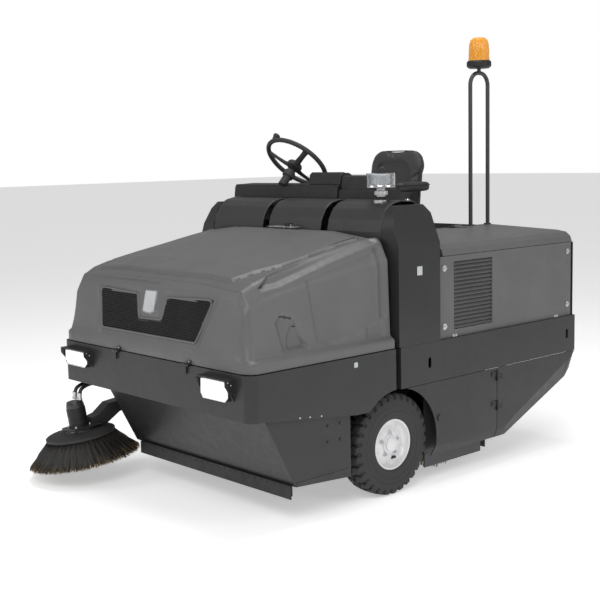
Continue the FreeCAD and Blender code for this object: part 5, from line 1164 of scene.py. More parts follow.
@dataclass
class Wheel:
    """A front wheel: a block-tread tyre on a pressed steel rim."""

    side: str
    radius: float = 0.2343
    half_width: float = 0.0649
    rim: float = 0.117
    lugs: int = 30
    samples: int = 14
    tread_depth: float = 0.013

    def axis_place(self) -> Matrix:
        """Takes +Z to the wheel's outward axis and the origin to its middle."""
        low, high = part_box("tyre_" + self.side)
        sign = 1 if self.side == "left" else -1
        return turned_to(LEFT * sign, (low + high) / 2)

    def groove(self, angle: float, across: float) -> float:
        """How deep the tread is cut at a place, from 0 to 1.

        Args:
            angle: Round the tyre, in lug pitches.
            across: From -1 at one shoulder to 1 at the other.

        Returns:
            The depth's share.
        """
        edge = abs(across)
        half_turn = 0.5 if across > 0 else 0.0
        kink = 0.30 * abs(((edge * 1.55 + 0.2) % 1.0) - 0.5) + 0.16 * edge
        phase = (angle + half_turn + kink) % 1.0
        lateral = abs(phase - 0.5)
        cut = 1 - step(lateral, 0.075 + 0.06 * edge, 0.125 + 0.06 * edge)
        weave = 0.16 * (1 - 4 * abs(((angle + 0.25) % 1.0) - 0.5))
        centre = 1 - step(abs(across - weave), 0.035, 0.085)
        fade = 1 - step(edge, 1.22, 1.36)
        return max(cut * fade, centre)

    def tyre(self) -> None:
        """Makes the tyre: crown, shoulder lugs, side wall ribs and bead."""
        place = self.axis_place()
        r, h = self.radius, self.half_width
        wall = [(r - 0.030, h - 0.0045, 1.36)]
        wall += [(r - a, h - b, SIDE_WALL) for a, b in (
            (0.040, 0.0018), (0.052, 0.0006), (0.053, 0.0016), (0.058, 0.0016), (0.059, 0.0004), (0.078, 0.0),
            (0.079, 0.0012), (0.083, 0.0012), (0.084, 0.0))]
        wall += [(self.rim + 0.012, h - 0.0002, SIDE_WALL), (self.rim + 0.006, h - 0.0014, SIDE_WALL),
                 (self.rim + 0.002, h - 0.005, SIDE_WALL), (self.rim - 0.0005, h - 0.009, SIDE_WALL)]
        crown = []
        for n in range(23):
            t = -1 + 2 * n / 22
            edge = abs(t)
            z = t * (h - 0.016)
            radius = r - 0.0035 * edge ** 2
            crown.append((radius, z, t))
        shoulder = [(r - 0.0075, h - 0.0122, 1.08), (r - 0.0135, h - 0.0092, 1.16), (r - 0.021, h - 0.0066, 1.25)]
        upper = shoulder + wall
        profile = [(a, -b, -c) for a, b, c in reversed(upper)] + crown + upper
        rows = []
        count = self.lugs * self.samples
        for radius, z, across in profile:
            row = []
            for n in range(count):
                pitch = n / self.samples
                turn = math.tau * n / count
                cut = 0.0 if abs(across) > SHOULDER_TO else self.tread_depth * self.groove(pitch, across)
                reach = radius - cut * (1 if abs(across) < SHOULDER_FROM else 0.6)
                inward = math.copysign(cut * 0.45, z) if SHOULDER_FROM < abs(across) <= SHOULDER_TO else 0.0
                row.append(polar(place, reach, turn, z - inward))
            rows.append(row)
        shape = Shape("tyre_tread_" + self.side, TYRE_RUBBER)
        verts = shape.grid(rows, closed=True)
        for n in range(count):
            k = (n + 1) % count
            shape.mesh.faces.new((verts[0][n], verts[-1][n], verts[-1][k], verts[0][k]))
        shape.done("wheel_" + self.side, ("tyre_" + self.side,), crease=42, weigh=False)

    def disc(self) -> None:
        """Makes the rim: flanges, dished disc, hub, nuts, hand holes and valve."""
        place = self.axis_place()
        body = "wheel_" + self.side
        h = self.half_width
        r = self.rim - 0.0015
        face = [(r, -h + 0.009), (r, h - 0.009), (r - 0.001, h - 0.0085), (r - 0.004, h - 0.0080),
                (r - 0.008, h - 0.0095),
                (r - 0.010, h - 0.016), (r - 0.012, h - 0.030), (r - 0.017, h - 0.036), (r - 0.026, h - 0.039),
                (r - 0.034, h - 0.038), (0.062, h - 0.030), (0.054, h - 0.0285), (0.046, h - 0.030), (0.043, h - 0.026),
                (0.043, h - 0.0235), (0.038, h - 0.0225), (0.0275, h - 0.0225)]
        rows = []
        sides = 120
        for radius, z in face:
            row = []
            for n in range(sides):
                angle = math.tau * n / sides
                dent = 0.0
                if 0.066 < radius < 0.098:
                    lobe = abs((5 * angle / math.tau + 0.5) % 1.0 - 0.5) / 5 * math.tau
                    dent = 0.0085 * math.exp(-(lobe * radius / 0.0125) ** 4)
                row.append(polar(place, radius, angle, z - dent))
            rows.append(row)
        shape = Shape("rim_disc_" + self.side, RIM_SILVER)
        verts = shape.grid(rows, closed=True)
        shape.cap(verts[-1])
        back = [(r, -h + 0.009), (r - 0.009, -h + 0.009), (r - 0.012, h - 0.045), (0.045, h - 0.040),
                (0.026, h - 0.046)]
        verts = shape.grid(round_rows(place, back, sides), closed=True)
        shape.cap(verts[-1])
        shape.turn([(0.034, h - 0.0235), (0.034, h - 0.014), (0.030, h - 0.0115), (0.018, h - 0.0095),
                    (0.004, h - 0.009)], place, 40)
        shape.done(body, ("rim_" + self.side,), crease=40, weigh=False)
        nuts = Shape("wheel_nuts_" + self.side, ZINC, SEAL_RUBBER)
        for n in range(5):
            angle = math.tau * (n + 0.5) / 5
            base = polar(place, 0.054, angle, h - 0.029)
            nuts.bolt(base, place.to_3x3() @ UP, 0.0078, 0.009)
            nuts.turn([(0.0042, 0.0), (0.0042, 0.0145), (0.003, 0.0155)], turned_to(place.to_3x3() @ UP, base), 14)
        lean = place.to_3x3() @ Vector((-0.25, 0.0, 1.0))
        spot = polar(place, 0.072, 0.3, h - 0.042)
        nuts.turn([(0.0085, 0), (0.0085, 0.010), (0.0062, 0.013), (0.0062, 0.026), (0.0045, 0.028)],
                  turned_to(lean, spot), 18, 1)
        nuts.done(body)

    def build(self) -> None:
        """Makes the tyre and the rim."""
        self.tyre()
        self.disc()


@dataclass
class DriveWheel:
    """The steered rear wheel in its fork."""

    radius: float = 0.1995
    half_width: float = 0.0545

    def build(self) -> None:
        """Makes the solid tyre with its cut tread, the rim and the fork."""
        low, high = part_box("rear_wheel")
        place = turned_to(LEFT, (low + high) / 2)
        shape = Shape("rear_wheel_tyre", TYRE_RUBBER, RIM_SILVER)
        h, r = self.half_width, self.radius
        profile = [(0.108, h - 0.004), (0.120, h - 0.0005), (0.160, h), (0.184, h - 0.003), (0.194, h - 0.009),
                   (r, h - 0.018),
                   (r, 0.006), (r - 0.005, 0.004), (r - 0.005, 0.0)]
        profile = profile + [(a, -b) for a, b in reversed(profile[:-1])]
        rows = []
        count = 288
        for radius, z in profile:
            row = []
            for n in range(count):
                phase = (36 * n / count + (0.5 if z < 0 else 0)) % 1.0
                cut = 0.006 * (1 - step(abs(phase - 0.5), 0.08, 0.16)) if radius > 0.19 and abs(z) > 0.004 else 0.0
                angle = math.tau * n / count
                row.append(place @ Vector(((radius - cut) * math.cos(angle), (radius - cut) * math.sin(angle), z)))
            rows.append(row)
        verts = shape.grid(rows, closed=True)
        for n in range(count):
            k = (n + 1) % count
            shape.mesh.faces.new((verts[-1][n], verts[-1][k], verts[0][k], verts[0][n]))
        rim = [(0.108, -h + 0.004), (0.108, h - 0.004), (0.100, h - 0.004), (0.096, h - 0.022), (0.060, h - 0.026),
               (0.046, h - 0.020), (0.026, h - 0.020), (0.0245, h - 0.024), (0.0245, -h + 0.024), (0.046, -h + 0.020),
               (0.096, -h + 0.022), (0.100, -h + 0.004)]
        shape.grid(round_rows(place, rim, 96), closed=True, wrap=True, tone=1)
        shape.done("drive_wheel", ("rear_wheel",), crease=40, weigh=False)
        soften("rear_fork", "fork", FRAME_PAINT, 0.002)


@dataclass
class Strands:
    """Filaments gathered into one piece, each a slim tapering rod with its own shade."""

    name: str
    thickness: float
    sides: int = 3
    rng: random.Random = field(default_factory=lambda: random.Random(7))

    def __post_init__(self) -> None:
        """Starts empty lists of points, faces and shades."""
        self.points: list[Vector] = []
        self.faces: list[tuple[int, ...]] = []
        self.reach: list[float] = []
        self.shade: list[float] = []

    def add(self, line: Sequence[Vector]) -> None:
        """Adds one strand along a line from root to tip."""
        start = len(self.points)
        shade = self.rng.random()
        heading = (line[-1] - line[0]).normalized()
        side = heading.orthogonal().normalized()
        across = heading.cross(side)
        turn = self.rng.random() * math.tau
        for n, point in enumerate(line):
            share = n / (len(line) - 1)
            radius = self.thickness * (1 - 0.45 * share)
            for k in range(self.sides):
                angle = turn + math.tau * k / self.sides
                self.points.append(point + (side * math.cos(angle) + across * math.sin(angle)) * radius)
                self.reach.append(share)
                self.shade.append(shade)
        for n in range(len(line) - 1):
            for k in range(self.sides):
                a, b = start + n * self.sides + k, start + n * self.sides + (k + 1) % self.sides
                self.faces.append((a, b, b + self.sides, a + self.sides))
        last = start + (len(line) - 1) * self.sides
        self.faces.append(tuple(range(last, last + self.sides)))
        self.faces.append(tuple(range(start + self.sides - 1, start - 1, -1)))

    def done(self, body: str, replaces: Iterable[str] = ()) -> bpy.types.Object:
        """Ends the strands as one piece on a body."""
        data = bpy.data.meshes.new(self.name)
        data.from_pydata([tuple(p) for p in self.points], [], self.faces)
        for title, values in (("reach", self.reach), ("strand", self.shade)):
            data.attributes.new(title, "FLOAT", "POINT").data.foreach_set("value", values)
        for face in data.polygons:
            face.use_smooth = True
        data.materials.append(BRISTLES.material())
        piece = placed(self.name, data)
        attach(piece, body)
        nodes = list(replaces)
        if nodes:
            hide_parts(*nodes)
        log.info("%s rides %s with %d points", self.name, body, len(self.points))
        return piece


@dataclass
class SideBrush:
    """The tilted disc brush with its arm, motor and hoses."""

    tilt: float = 8.3
    azimuth: float = 227.85
    tip_radius: float = 0.2735
    plate_radius: float = 0.168
    height: float = 0.148
    strands: int = 3600

    def place(self) -> Matrix:
        """Takes +Z to the brush's axis and the origin to the middle of its tips."""
        tilt, azimuth = math.radians(self.tilt), math.radians(self.azimuth)
        axis = Vector((math.sin(tilt) * math.cos(azimuth), math.sin(tilt) * math.sin(azimuth), math.cos(tilt)))
        return turned_to(axis, at(-624.0, -809.0, 90.0))

    def build(self) -> None:
        """Makes the plate, the bristles, the arm with its motor and the hoses."""
        place = self.place()
        h, p = self.height, self.plate_radius
        plate = Shape("side_brush_plate", GRIP, ZINC)
        plate.turn([(0.0145, h - 0.033), (p - 0.004, h - 0.033), (p, h - 0.030), (p, h - 0.019),
                    (p - 0.005, h - 0.0155),
                    (p - 0.040, h - 0.008), (0.074, h - 0.0075), (0.070, h - 0.001), (0.0145, h - 0.001)], place, 96)
        plate.turn([(0.066, h - 0.0015), (0.066, h + 0.0005), (0.044, h + 0.0015), (0.040, h + 0.006),
                    (0.022, h + 0.008),
                    (0.0145, h + 0.008)], place, 48, 1)
        for n in range(8):
            angle = math.tau * (n + 0.3) / 8
            base = polar(place, 0.052, angle, h + 0.0006)
            plate.bolt(base, place.to_3x3() @ UP, 0.0048, 0.0036, 1)
        for n in range(24):
            angle = math.tau * n / 24
            base = polar(place, 0.146, angle, h - 0.0125)
            plate.rivet(base, place.to_3x3() @ UP, 0.0042)
        plate.done("brush", weigh=False)
        cone = Shape("side_brush_core", BRISTLES)
        rows = []
        for radius, z in ((p - 0.038, h - 0.034), (p - 0.006, h - 0.034), (p + 0.046, 0.062),
                          (self.tip_radius - 0.024, 0.018),
                          (self.tip_radius - 0.055, 0.014), (p - 0.004, 0.055)):
            row = []
            for n in range(180):
                angle = math.tau * n / 180
                rough = 1 + 0.012 * math.sin(47 * angle) + 0.008 * math.sin(101 * angle + radius * 90)
                row.append(place @ Vector((radius * rough * math.cos(angle), radius * rough * math.sin(angle), z)))
            rows.append(row)
        cone.grid(rows, closed=True, wrap=True)
        cone.done("brush", weigh=False)
        strands = Strands("side_brush_bristles", 0.0017)
        rng = strands.rng
        for n in range(self.strands):
            angle = math.tau * n * GOLDEN_TURN
            root = 0.128 + 0.037 * (n % 7) / 6
            outward = (root - 0.128) / 0.037
            tip = min(self.tip_radius - 0.0015, 0.213 + 0.052 * outward + rng.uniform(-0.006, 0.0065))
            swirl = rng.uniform(-0.035, 0.035)
            low = rng.uniform(0.0, 0.010)
            line = []
            for k in range(4):
                t = k / 3
                radius = root + (tip - root) * (0.82 * t + 0.18 * t * t)
                turn = angle + swirl * t
                line.append(place @ Vector((radius * math.cos(turn), radius * math.sin(turn),
                                            (h - 0.034) + (low - h + 0.034) * t)))
            strands.add(line)
        strands.done("brush", ("side_brush_rotor",))
        self.arm()
        self.hoses()

    def arm(self) -> None:
        """Makes the arm and motor with bolts and end cap."""
        soften("side_brush_arm", "brush_arm", FRAME_PAINT, 0.0025, 30)
        place = self.place()
        motor = Shape("side_brush_motor", COVER_BLACK, ZINC)
        h = self.height
        profile = [(0.0452, h + 0.020), (0.0462, h + 0.024), (0.0462, h + 0.052), (0.0450, h + 0.055),
                   (0.0450, h + 0.060),
                   (0.0462, h + 0.063), (0.0462, h + 0.105), (0.0448, h + 0.109)]
        motor.turn(profile, place, 48)
        for n in range(4):
            angle = math.tau * (n + 0.5) / 4
            spot = place @ Vector((0.060 * math.cos(angle) * 0.9, 0.060 * math.sin(angle) * 0.9, h + 0.0162))
            motor.bolt(spot, place.to_3x3() @ UP, 0.0058, 0.006, 1)
        motor.done("brush_arm")

    def hoses(self) -> None:
        """Makes both hoses with their bright swaged ends."""
        shape = Shape("brush_hoses", HOSE, ZINC)
        for side in (-1, 1):
            x = -654.0 + side * 22
            points = [at(x, -821.0, 384), at(x, -818.0, 414), at(x + 1, -800.0, 438), at(x + 5, -740.0, 452),
                      at(-626 + side * 17, -620.0, 447),
                      at(-626 + side * 16, -520.0, 430), at(-626 + side * 16, -424.0, 400)]
            line = seam(points, 8)
            shape.tube(line, 0.0088, 14)
            for start, end in ((line[0], line[2]), (line[-1], line[-3])):
                heading = (end - start).normalized()
                sleeve = turned_to(heading, start - heading * 0.004)
                shape.turn([(0.0105, 0), (0.0125, 0.002), (0.0125, 0.009), (0.0108, 0.010), (0.0108, 0.024),
                            (0.0118, 0.026),
                            (0.0118, 0.034), (0.0098, 0.036)], sleeve, 18, 1)
                shape.turn([(0.0135, 0.002), (0.0135, 0.009), (0.0128, 0.010)], sleeve, 6, 1)
            shape.block(at(-656, -428, 384.5), at(-596, -396, 407.5), 0.002, 1)
        shape.done("brush_arm", ("side_brush_hoses",))


@dataclass
class MainBrush:
    """The cylindrical brush across the machine, with its tunnel and swinging arms."""

    rows: int = 20
    tufts: int = 110

    def build(self) -> None:
        """Makes the core, the chevron rows of bristles, the tunnel and the arms."""
        low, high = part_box("roller_brush")
        middle = (low + high) / 2
        radius = (high.z - low.z) / 2 - 0.0015
        half = (high.x - low.x) / 2 - 0.006
        core = Shape("roller_core", GRIP)
        core.turn([(0.0165, -half - 0.004), (0.088, -half - 0.004), (0.092, -half), (0.092, half),
                   (0.088, half + 0.004),
                   (0.0165, half + 0.004)], turned_to(LEFT, middle), 64)
        core.turn([(0.150, -half + 0.012), (0.156, -half + 0.02), (0.156, half - 0.02), (0.150, half - 0.012)],
                  turned_to(LEFT, middle), 64)
        core.done("roller", weigh=False)
        strands = Strands("roller_bristles", 0.0034)
        rng = strands.rng
        for row in range(self.rows):
            for n in range(self.tufts):
                x = -half + 2 * half * (n + 0.5) / self.tufts
                base = math.tau * row / self.rows + 0.9 * abs(x) / half
                for _ in range(2):
                    angle = base + rng.uniform(-0.035, 0.035)
                    tip = angle + rng.uniform(-0.03, 0.03)
                    shift = rng.uniform(-0.004, 0.004)
                    root_r, tip_r = 0.090, radius - rng.uniform(0, 0.004)
                    inner = middle + Vector((x, root_r * math.cos(angle), root_r * math.sin(angle)))
                    outer = middle + Vector((max(-half, min(half, x + shift)), tip_r * math.cos(tip),
                                             tip_r * math.sin(tip)))
                    strands.add([inner, (inner + outer) / 2, outer])
        strands.done("roller", ("roller_brush",))
        soften("roller_tunnel", "chassis", FRAME_PAINT, 0.001)
        soften("roller_arms", "roller_frame", FRAME_PAINT, 0.0015)


# ---- bodywork ---------------------------------------------------------------------------------------
@dataclass
class Bodywork:
    """The steel sides, covers, lid, panels and frame of the chassis."""

    round_edge: float = 0.0028
    fine_edge: float = 0.0014
    steel: tuple[str, ...] = ("skirt_left", "skirt_right", "rear_side_left", "lower_side_right", "rear_panel",
                              "arch_side_left", "arch_side_right", "seat_box")
    frame_parts: tuple[str, ...] = ("chassis_frame", "floor_deck")
    black: tuple[str, ...] = ("dash_panel", "side_console", "beacon_base")
    bolt_gap: float = 18.0

    def build(self) -> None:
        """Makes every panel with its fixings and fittings."""
        for node in self.steel:
            soften(node, "chassis", BODY_STEEL, self.fine_edge)
        soften("roller_door", "door", BODY_STEEL, self.fine_edge)
        for node in self.frame_parts:
            soften(node, "chassis", FRAME_PAINT, self.fine_edge)
        for node in self.black:
            soften(node, "chassis", COVER_BLACK, self.round_edge, 30, 3)
        soften("engine_lid", "lid", COVER_GREY, self.round_edge, 28, 3)
        soften("louvre_panel", "chassis", PANEL_GREY, 0.001, 30, 2)
        soften("engine_block", "chassis", CAST_METAL, 0.002)
        soften("hood_latch", "latch", COVER_BLACK, 0.0015)
        for n in range(1, 5):
            soften("panel_lock_%d" % n, "lock_%d" % n, ZINC, 0.0006)
        self.covers()
        self.side_fixings()

    def covers(self) -> None:
        """Makes the three wheel arch covers with smooth crowns and turned-in rims."""
        inner = ((12, 678), (12, 1186), (24, 1238), (52, 1284), (92, 1313), (150, 1325), (238, 1318), (280, 1288),
                 (308, 1236), (326, 1196), (326, 678))
        outline = rounded(inner, (0, 20, 60, 60, 60, 90, 50, 50, 60, 20, 0), 5, closed=False)
        shape = Shape("wheel_arch_covers", COVER_DARK)
        for x0, x1 in ((-599.0, -211.0), (-165.0, 209.0), (255.0, 599.0)):
            stations = [(x0, 6.0), (x0 + 0.8, 3.2), (x0 + 3.0, 1.0), (x0 + 6.0, 0.0)]
            stations += [(x0 + 6 + (x1 - x0 - 12) * n / 12, 0.0) for n in range(1, 12)]
            stations += [(x1 - 6.0, 0.0), (x1 - 3.0, 1.0), (x1 - 0.8, 3.2), (x1, 6.0)]
            outer = self.ring_rows(outline, stations, 0.0)
            verts = shape.grid(outer)
            lining = shape.grid(self.ring_rows(outline, [(x, max(0.0, i - 6)) for x, i in stations], 6.0))
            for a, b in ((verts[0], lining[0]), (verts[-1], lining[-1])):
                for n in range(len(a) - 1):
                    shape.mesh.faces.new((a[n], a[n + 1], b[n + 1], b[n]))
            for n in range(len(verts) - 1):
                for k in (0, -1):
                    shape.mesh.faces.new((verts[n][k], verts[n + 1][k], lining[n + 1][k], lining[n][k]))
        shape.done("chassis", ("arch_covers",), crease=60)

    def ring_rows(self, outline: Sequence[Flat], stations: Sequence[Flat], depth: float) -> list[list[Vector]]:
        """Cross-sections of a cover: the outline set in by each station's inset and a wall's depth."""
        return [[at(x, y, z) for y, z in self.offset_open(outline, inset + depth)] for x, inset in stations]

    @staticmethod
    def offset_open(outline: Sequence[Flat], inset: float) -> list[Flat]:
        """An open outline moved to its inner side."""
        if inset <= 0:
            return list(outline)
        moved = []
        for n, (y, z) in enumerate(outline):
            before, after = outline[max(0, n - 1)], outline[min(len(outline) - 1, n + 1)]
            along = Vector((after[0] - before[0], after[1] - before[1])).normalized()
            moved.append((y + along.y * inset, z - along.x * inset))
        return moved

    def side_fixings(self) -> None:
        """Makes the hinge bolts, the blank plate on the arch side and the plate under the hood latch."""
        bolts = Shape("side_bolts", ZINC)
        for y in (398.0, 1206.0):
            for k in (0.0, self.bolt_gap):
                bolts.bolt(at(695.0, y + k, 682.0), LEFT, 0.0062, 0.0042)
        bolts.done("chassis")
        plate = Shape("side_plate", LABEL_BLANK)
        plate.prism(rounded(oblong(0.020, 0.017), 0.003, 4),
                    Matrix.Translation(at(710.2, 150.0, 1010.0)) @ Matrix.Rotation(math.pi / 2, 4, "Y"), 0.0, 0.0008)
        plate.done("chassis")
        catch = Shape("hood_latch_plate", PLATE_SILVER, COVER_BLACK)
        catch.block(at(-86.0, -62.0, 1196.2), at(104.0, -15.0, 1197.6), 0.0006)
        for x in (-72.0, 90.0):
            catch.rivet(at(x, -38.0, 1197.4), UP, 0.0045, 1)
        catch.done("hood")


# ---- operator's place -------------------------------------------------------------------------------
@dataclass
class Cushion:
    """A stuffed piece: a rounded block, swollen by cloth pressure, flattened where it rests."""

    node: str
    body: str
    size: tuple[float, float, float]
    place: Matrix
    corner: float = 0.05
    swell: float = 0.022
    fill: float = 0.75
    pleats: tuple[tuple[str, float], ...] = ()
    ring: float = 0.0

    def block(self) -> bmesh.types.BMesh:
        """A rounded block a little smaller than the room it may take, about the origin."""
        work = bmesh.new()
        bmesh.ops.create_cube(work, size=1.0)
        hx, hy, hz = (s / 2 for s in self.size)
        bmesh.ops.subdivide_edges(work, edges=work.edges, cuts=23, use_grid_fill=True)
        for vert in work.verts:
            x, y, z = (c * 2 for c in vert.co)
            r = min(self.corner, hx, hy)
            px, py = x * hx, y * hy
            cx, cy = max(-hx + r, min(hx - r, px)), max(-hy + r, min(hy - r, py))
            out = Vector((px - cx, py - cy))
            if out.length > 1e-9 and (abs(px) > hx - r and abs(py) > hy - r):
                share = max(abs(px - cx), abs(py - cy)) / out.length
                px, py = cx + out.x * share, cy + out.y * share
            edge = min(1.0, max(abs(x), abs(y)))
            soft = 1 - 0.42 * max(0.0, (edge - 0.72) / 0.28) ** 2
            vert.co = (px, py, z * hz * soft)
        return work

    def build(self) -> bpy.types.Object:
        """Makes the piece and lays its seams.

        Returns:
            The cushion.
        """
        work = self.block()
        data = bpy.data.meshes.new(self.node + "_padding")
        work.to_mesh(data)
        work.free()
        piece = placed(self.node + "_padding", data)
        self.inflate(piece)
        self.fit(piece)
        smooth = piece.modifiers.new("subdivision", "SUBSURF")
        smooth.levels = smooth.render_levels = 1
        piece.matrix_world = Matrix.Identity(4)
        for face in piece.data.polygons:
            face.use_smooth = True
        piece.data.materials.clear()
        piece.data.materials.append(SEAT_VINYL.material())
        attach(piece, self.body)
        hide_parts(self.node)
        self.seams()
        log.info("%s has %d points", piece.name, len(piece.data.vertices))
        return piece

    def inflate(self, piece: bpy.types.Object) -> None:
        """Remeshes the block evenly and lets inner pressure swell it, a set distance at most."""
        bpy.context.view_layer.objects.active = piece
        remesh = piece.modifiers.new("remesh", "REMESH")
        remesh.mode, remesh.voxel_size = "VOXEL", 0.006
        bpy.ops.object.modifier_apply(modifier=remesh.name)
        before = [v.co.copy() for v in piece.data.vertices]
        cloth = piece.modifiers.new("pressure", "CLOTH")
        cloth.settings.use_pressure = True
        cloth.settings.uniform_pressure_force = 4.0
        cloth.settings.effector_weights.gravity = 0.0
        cloth.settings.quality = 5
        scene = bpy.context.scene
        for number in range(1, 21):
            scene.frame_set(number)
        swollen = piece.evaluated_get(bpy.context.evaluated_depsgraph_get()).to_mesh()
        after = [v.co.copy() for v in swollen.vertices]
        piece.modifiers.remove(cloth)
        for vert, start, end in zip(piece.data.vertices, before, after):
            moved = end - start
            limit = min(moved.length, self.swell)
            vert.co = start + moved.normalized() * limit if moved.length > 0 else start
        scene.frame_set(1)

    def fit(self, piece: bpy.types.Object) -> None:
        """Presses pleats and the panel groove in, rests the underside flat and brings it to size."""
        coordinates = [v.co.copy() for v in piece.data.vertices]
        high = Vector([max(c[k] for c in coordinates) for k in range(3)])
        low = Vector([min(c[k] for c in coordinates) for k in range(3)])
        for vert in piece.data.vertices:
            c = Vector([(vert.co[k] - low[k]) / (high[k] - low[k]) * 2 - 1 for k in range(3)])
            top = step(c.z, 0.1, 0.6)
            dent = 0.0
            for axis, where in self.pleats:
                reach = (c.x if axis == "x" else c.y) - where
                scale = self.size[0] / 2 if axis == "x" else self.size[1] / 2
                dent += 0.011 * math.exp(-(reach * scale / 0.009) ** 2) * (1 if axis == "x" or abs(c.x) < 0.62 else 0)
            if self.ring > 0:
                hx, hy = self.size[0] / 2 * self.ring, self.size[1] / 2 * (self.ring + 0.06)
                outline = rounded(oblong(hx, hy), 0.06, 5)
                away = distance_to(outline, c.x * self.size[0] / 2, c.y * self.size[1] / 2)
                dent += 0.010 * math.exp(-(away / 0.008) ** 2) + 0.010 * (1 - step(away, -0.02, 0.0))
            half = Vector(self.size) / 2
            z = c.z * half.z
            if z > 0:
                z -= dent * top
            else:
                z = max(z, -half.z)
            vert.co = self.place @ Vector((c.x * half.x, c.y * half.y, z))

    def seams(self) -> None:
        """Lays piping round the piece's middle line."""
        hx, hy, hz = (s / 2 for s in self.size)
        r = self.corner * 1.15
        outline = rounded(oblong(hx, hy), r, 8)
        ring = [self.place @ Vector((x * 0.985, y * 0.985, hz * 0.30)) for x, y in outline]
        shape = Shape(self.node + "_piping", SEAM_THREAD)
        shape.tube(ring, 0.0032, 8, closed=True)
        shape.done(self.body)


@dataclass
class Cab:
    """Seat, steering wheel, column, cowl, pedals and levers."""

    centre_x: float = -270.0
    wheel_radius: float = 0.168
    grip: float = 0.0122
    gauge_radius: float = 0.024

    def build(self) -> None:
        """Makes every piece of the operator's place."""
        self.seat()
        self.steering()
        self.cowl()
        for node, body in (("drive_pedal", "drive_pedal"), ("brake_pedal", "brake_pedal"),
                           ("control_lever", "control_lever"), ("steering_column", "chassis")):
            soften(node, body, GRIP if "pedal" not in node else ZINC, 0.0012)
        soften("parking_lever", "parking_lever", CHROME, 0.0012)
        self.pads()

    def seat(self) -> None:
        """Makes the cushion with its wings, the back with its sewn panel and the folding armrest."""
        Cushion("seat_cushion", "seat", (0.446, 0.376, 0.083), Matrix.Translation(at(self.centre_x, 780.0, 1049.5)),
                0.075,
                pleats=(("x", -0.56), ("x", 0.56), ("y", -0.28), ("y", 0.34))).build()
        place = (Matrix.Translation(at(self.centre_x, 1057.5, 1337.4)) @ Matrix.Rotation(-math.radians(7.0), 4, "X")
                 @ Matrix.Rotation(math.pi / 2, 4, "X"))
        Cushion("seat_back", "seat", (0.376, 0.425, 0.083), place, 0.095, ring=0.60).build()
        low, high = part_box("seat_armrest")
        Cushion("seat_armrest", "armrest", tuple(d - 0.002 for d in (high - low)), Matrix.Translation((low + high) / 2),
                0.022, 0.008, 0.9).build()
        pan = Shape("seat_pan", GRIP, ZINC)
        pan.prism(rounded(oblong(0.204, 0.204), 0.05, 6),
                  Matrix.Translation(at(self.centre_x, 815.0, 992.4)), 0.0, 0.012, 0.003)
        for x in (-390.0, -150.0):
            pan.block(at(x - 12, 980.5, 1004.0), at(x + 12, 1019.5, 1149.0), 0.002)
        pan.tube([at(-115.0, 1052.0, 1352.0), at(-34.5, 1052.0, 1352.0)], 0.0098, 20, tone=1)
        pan.done("seat")

    def steering(self) -> None:
        """Makes the rim with finger ridges, three spokes, hub cap and spinner knob."""
        centre = at(self.centre_x, 309.0, 1500.0)
        tilt = math.radians(43.0)
        axis = Vector((0, math.sin(tilt), math.cos(tilt)))
        place = turned_to(axis, centre)
        right = place.to_3x3() @ LEFT
        if abs(right.x) < 0.9:
            place = place @ Matrix.Rotation(math.pi / 2, 4, "Z")
        shape = Shape("steering_rim", GRIP)
        r = self.wheel_radius
        rows = []
        for n in range(180):
            angle = math.tau * n / 180
            ridge = 0.0007 * (0.5 + 0.5 * math.sin(60 * angle))
            row = []
            for k in range(16):
                turn = math.tau * k / 16
                g = self.grip - ridge * (1 if math.cos(turn) < 0.2 else 0)
                row.append(place @ Vector(((r + g * math.cos(turn)) * math.cos(angle),
                                           (r + g * math.cos(turn)) * math.sin(angle),
                                           g * math.sin(turn))))
            rows.append(row)
        shape.grid(rows, closed=True, wrap=True)
        for angle in (90.0, 210.0, 330.0):
            turn = math.radians(angle)
            out = Vector((math.cos(turn), math.sin(turn), 0))
            side = Vector((-math.sin(turn), math.cos(turn), 0))
            section = []
            for d, w, drop, t in ((0.020, 0.021, -0.030, 0.010), (0.055, 0.0165, -0.027, 0.008),
                                  (0.100, 0.0145, -0.017, 0.007),
                                  (0.140, 0.0150, -0.007, 0.007), (0.164, 0.0170, -0.001, 0.0065)):
                ring = []
                for k in range(16):
                    a = math.tau * k / 16
                    ring.append(place @ (out * d + side * (w * math.cos(a)) + UP * (drop + t * math.sin(a))))
                section.append(ring)
            verts = shape.grid(section, closed=True)
            shape.cap(verts[0])
            shape.cap(verts[-1])
        shape.turn([(0.036, -0.040), (0.040, -0.036), (0.041, -0.020), (0.037, -0.013), (0.026, -0.010),
                    (0.006, -0.009)], place, 48)
        shape.done("steering", ("steering_wheel",), crease=50)
        knob = Shape("spinner_grip", GRIP)
        angle = math.radians(255.0)
        foot = place @ Matrix.Translation(Vector((r * math.cos(angle), r * math.sin(angle), 0)))
        knob.turn([(0.0138, 0.0132), (0.0138, 0.017), (0.0105, 0.019), (0.0105, 0.022), (0.0165, 0.026),
                   (0.0186, 0.032),
                   (0.0182, 0.037), (0.0150, 0.0405), (0.006, 0.0418)], foot, 32)
        knob.done("spinner", ("spinner_knob",), crease=50)

    def cowl(self) -> None:
        """Makes the instrument cowl with three dials, each a chrome bezel round dark glass."""
        soften("instrument_cowl", "chassis", COVER_BLACK, 0.004, 30, 3)
        low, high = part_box("instrument_cowl")
        face = Shape("cowl_dials", CHROME, DARK_GLASS, SIGNAL_RED)
        for n in range(3):
            centre = Vector((low.x + (high.x - low.x) * (0.22 + 0.28 * n), high.y - 0.0008,
                             low.z + (high.z - low.z) * 0.52))
            place = turned_to(REAR, centre)
            radius = min(self.gauge_radius, (high.z - low.z) * 0.42)
            face.turn([(radius, -0.004), (radius, 0.001), (radius - 0.002, 0.002), (radius - 0.004, 0.001)], place, 32)
            face.turn([(radius - 0.004, -0.003), (radius - 0.004, 0.0), (0.001, 0.0004)], place, 32, 1)
        face.done("chassis")

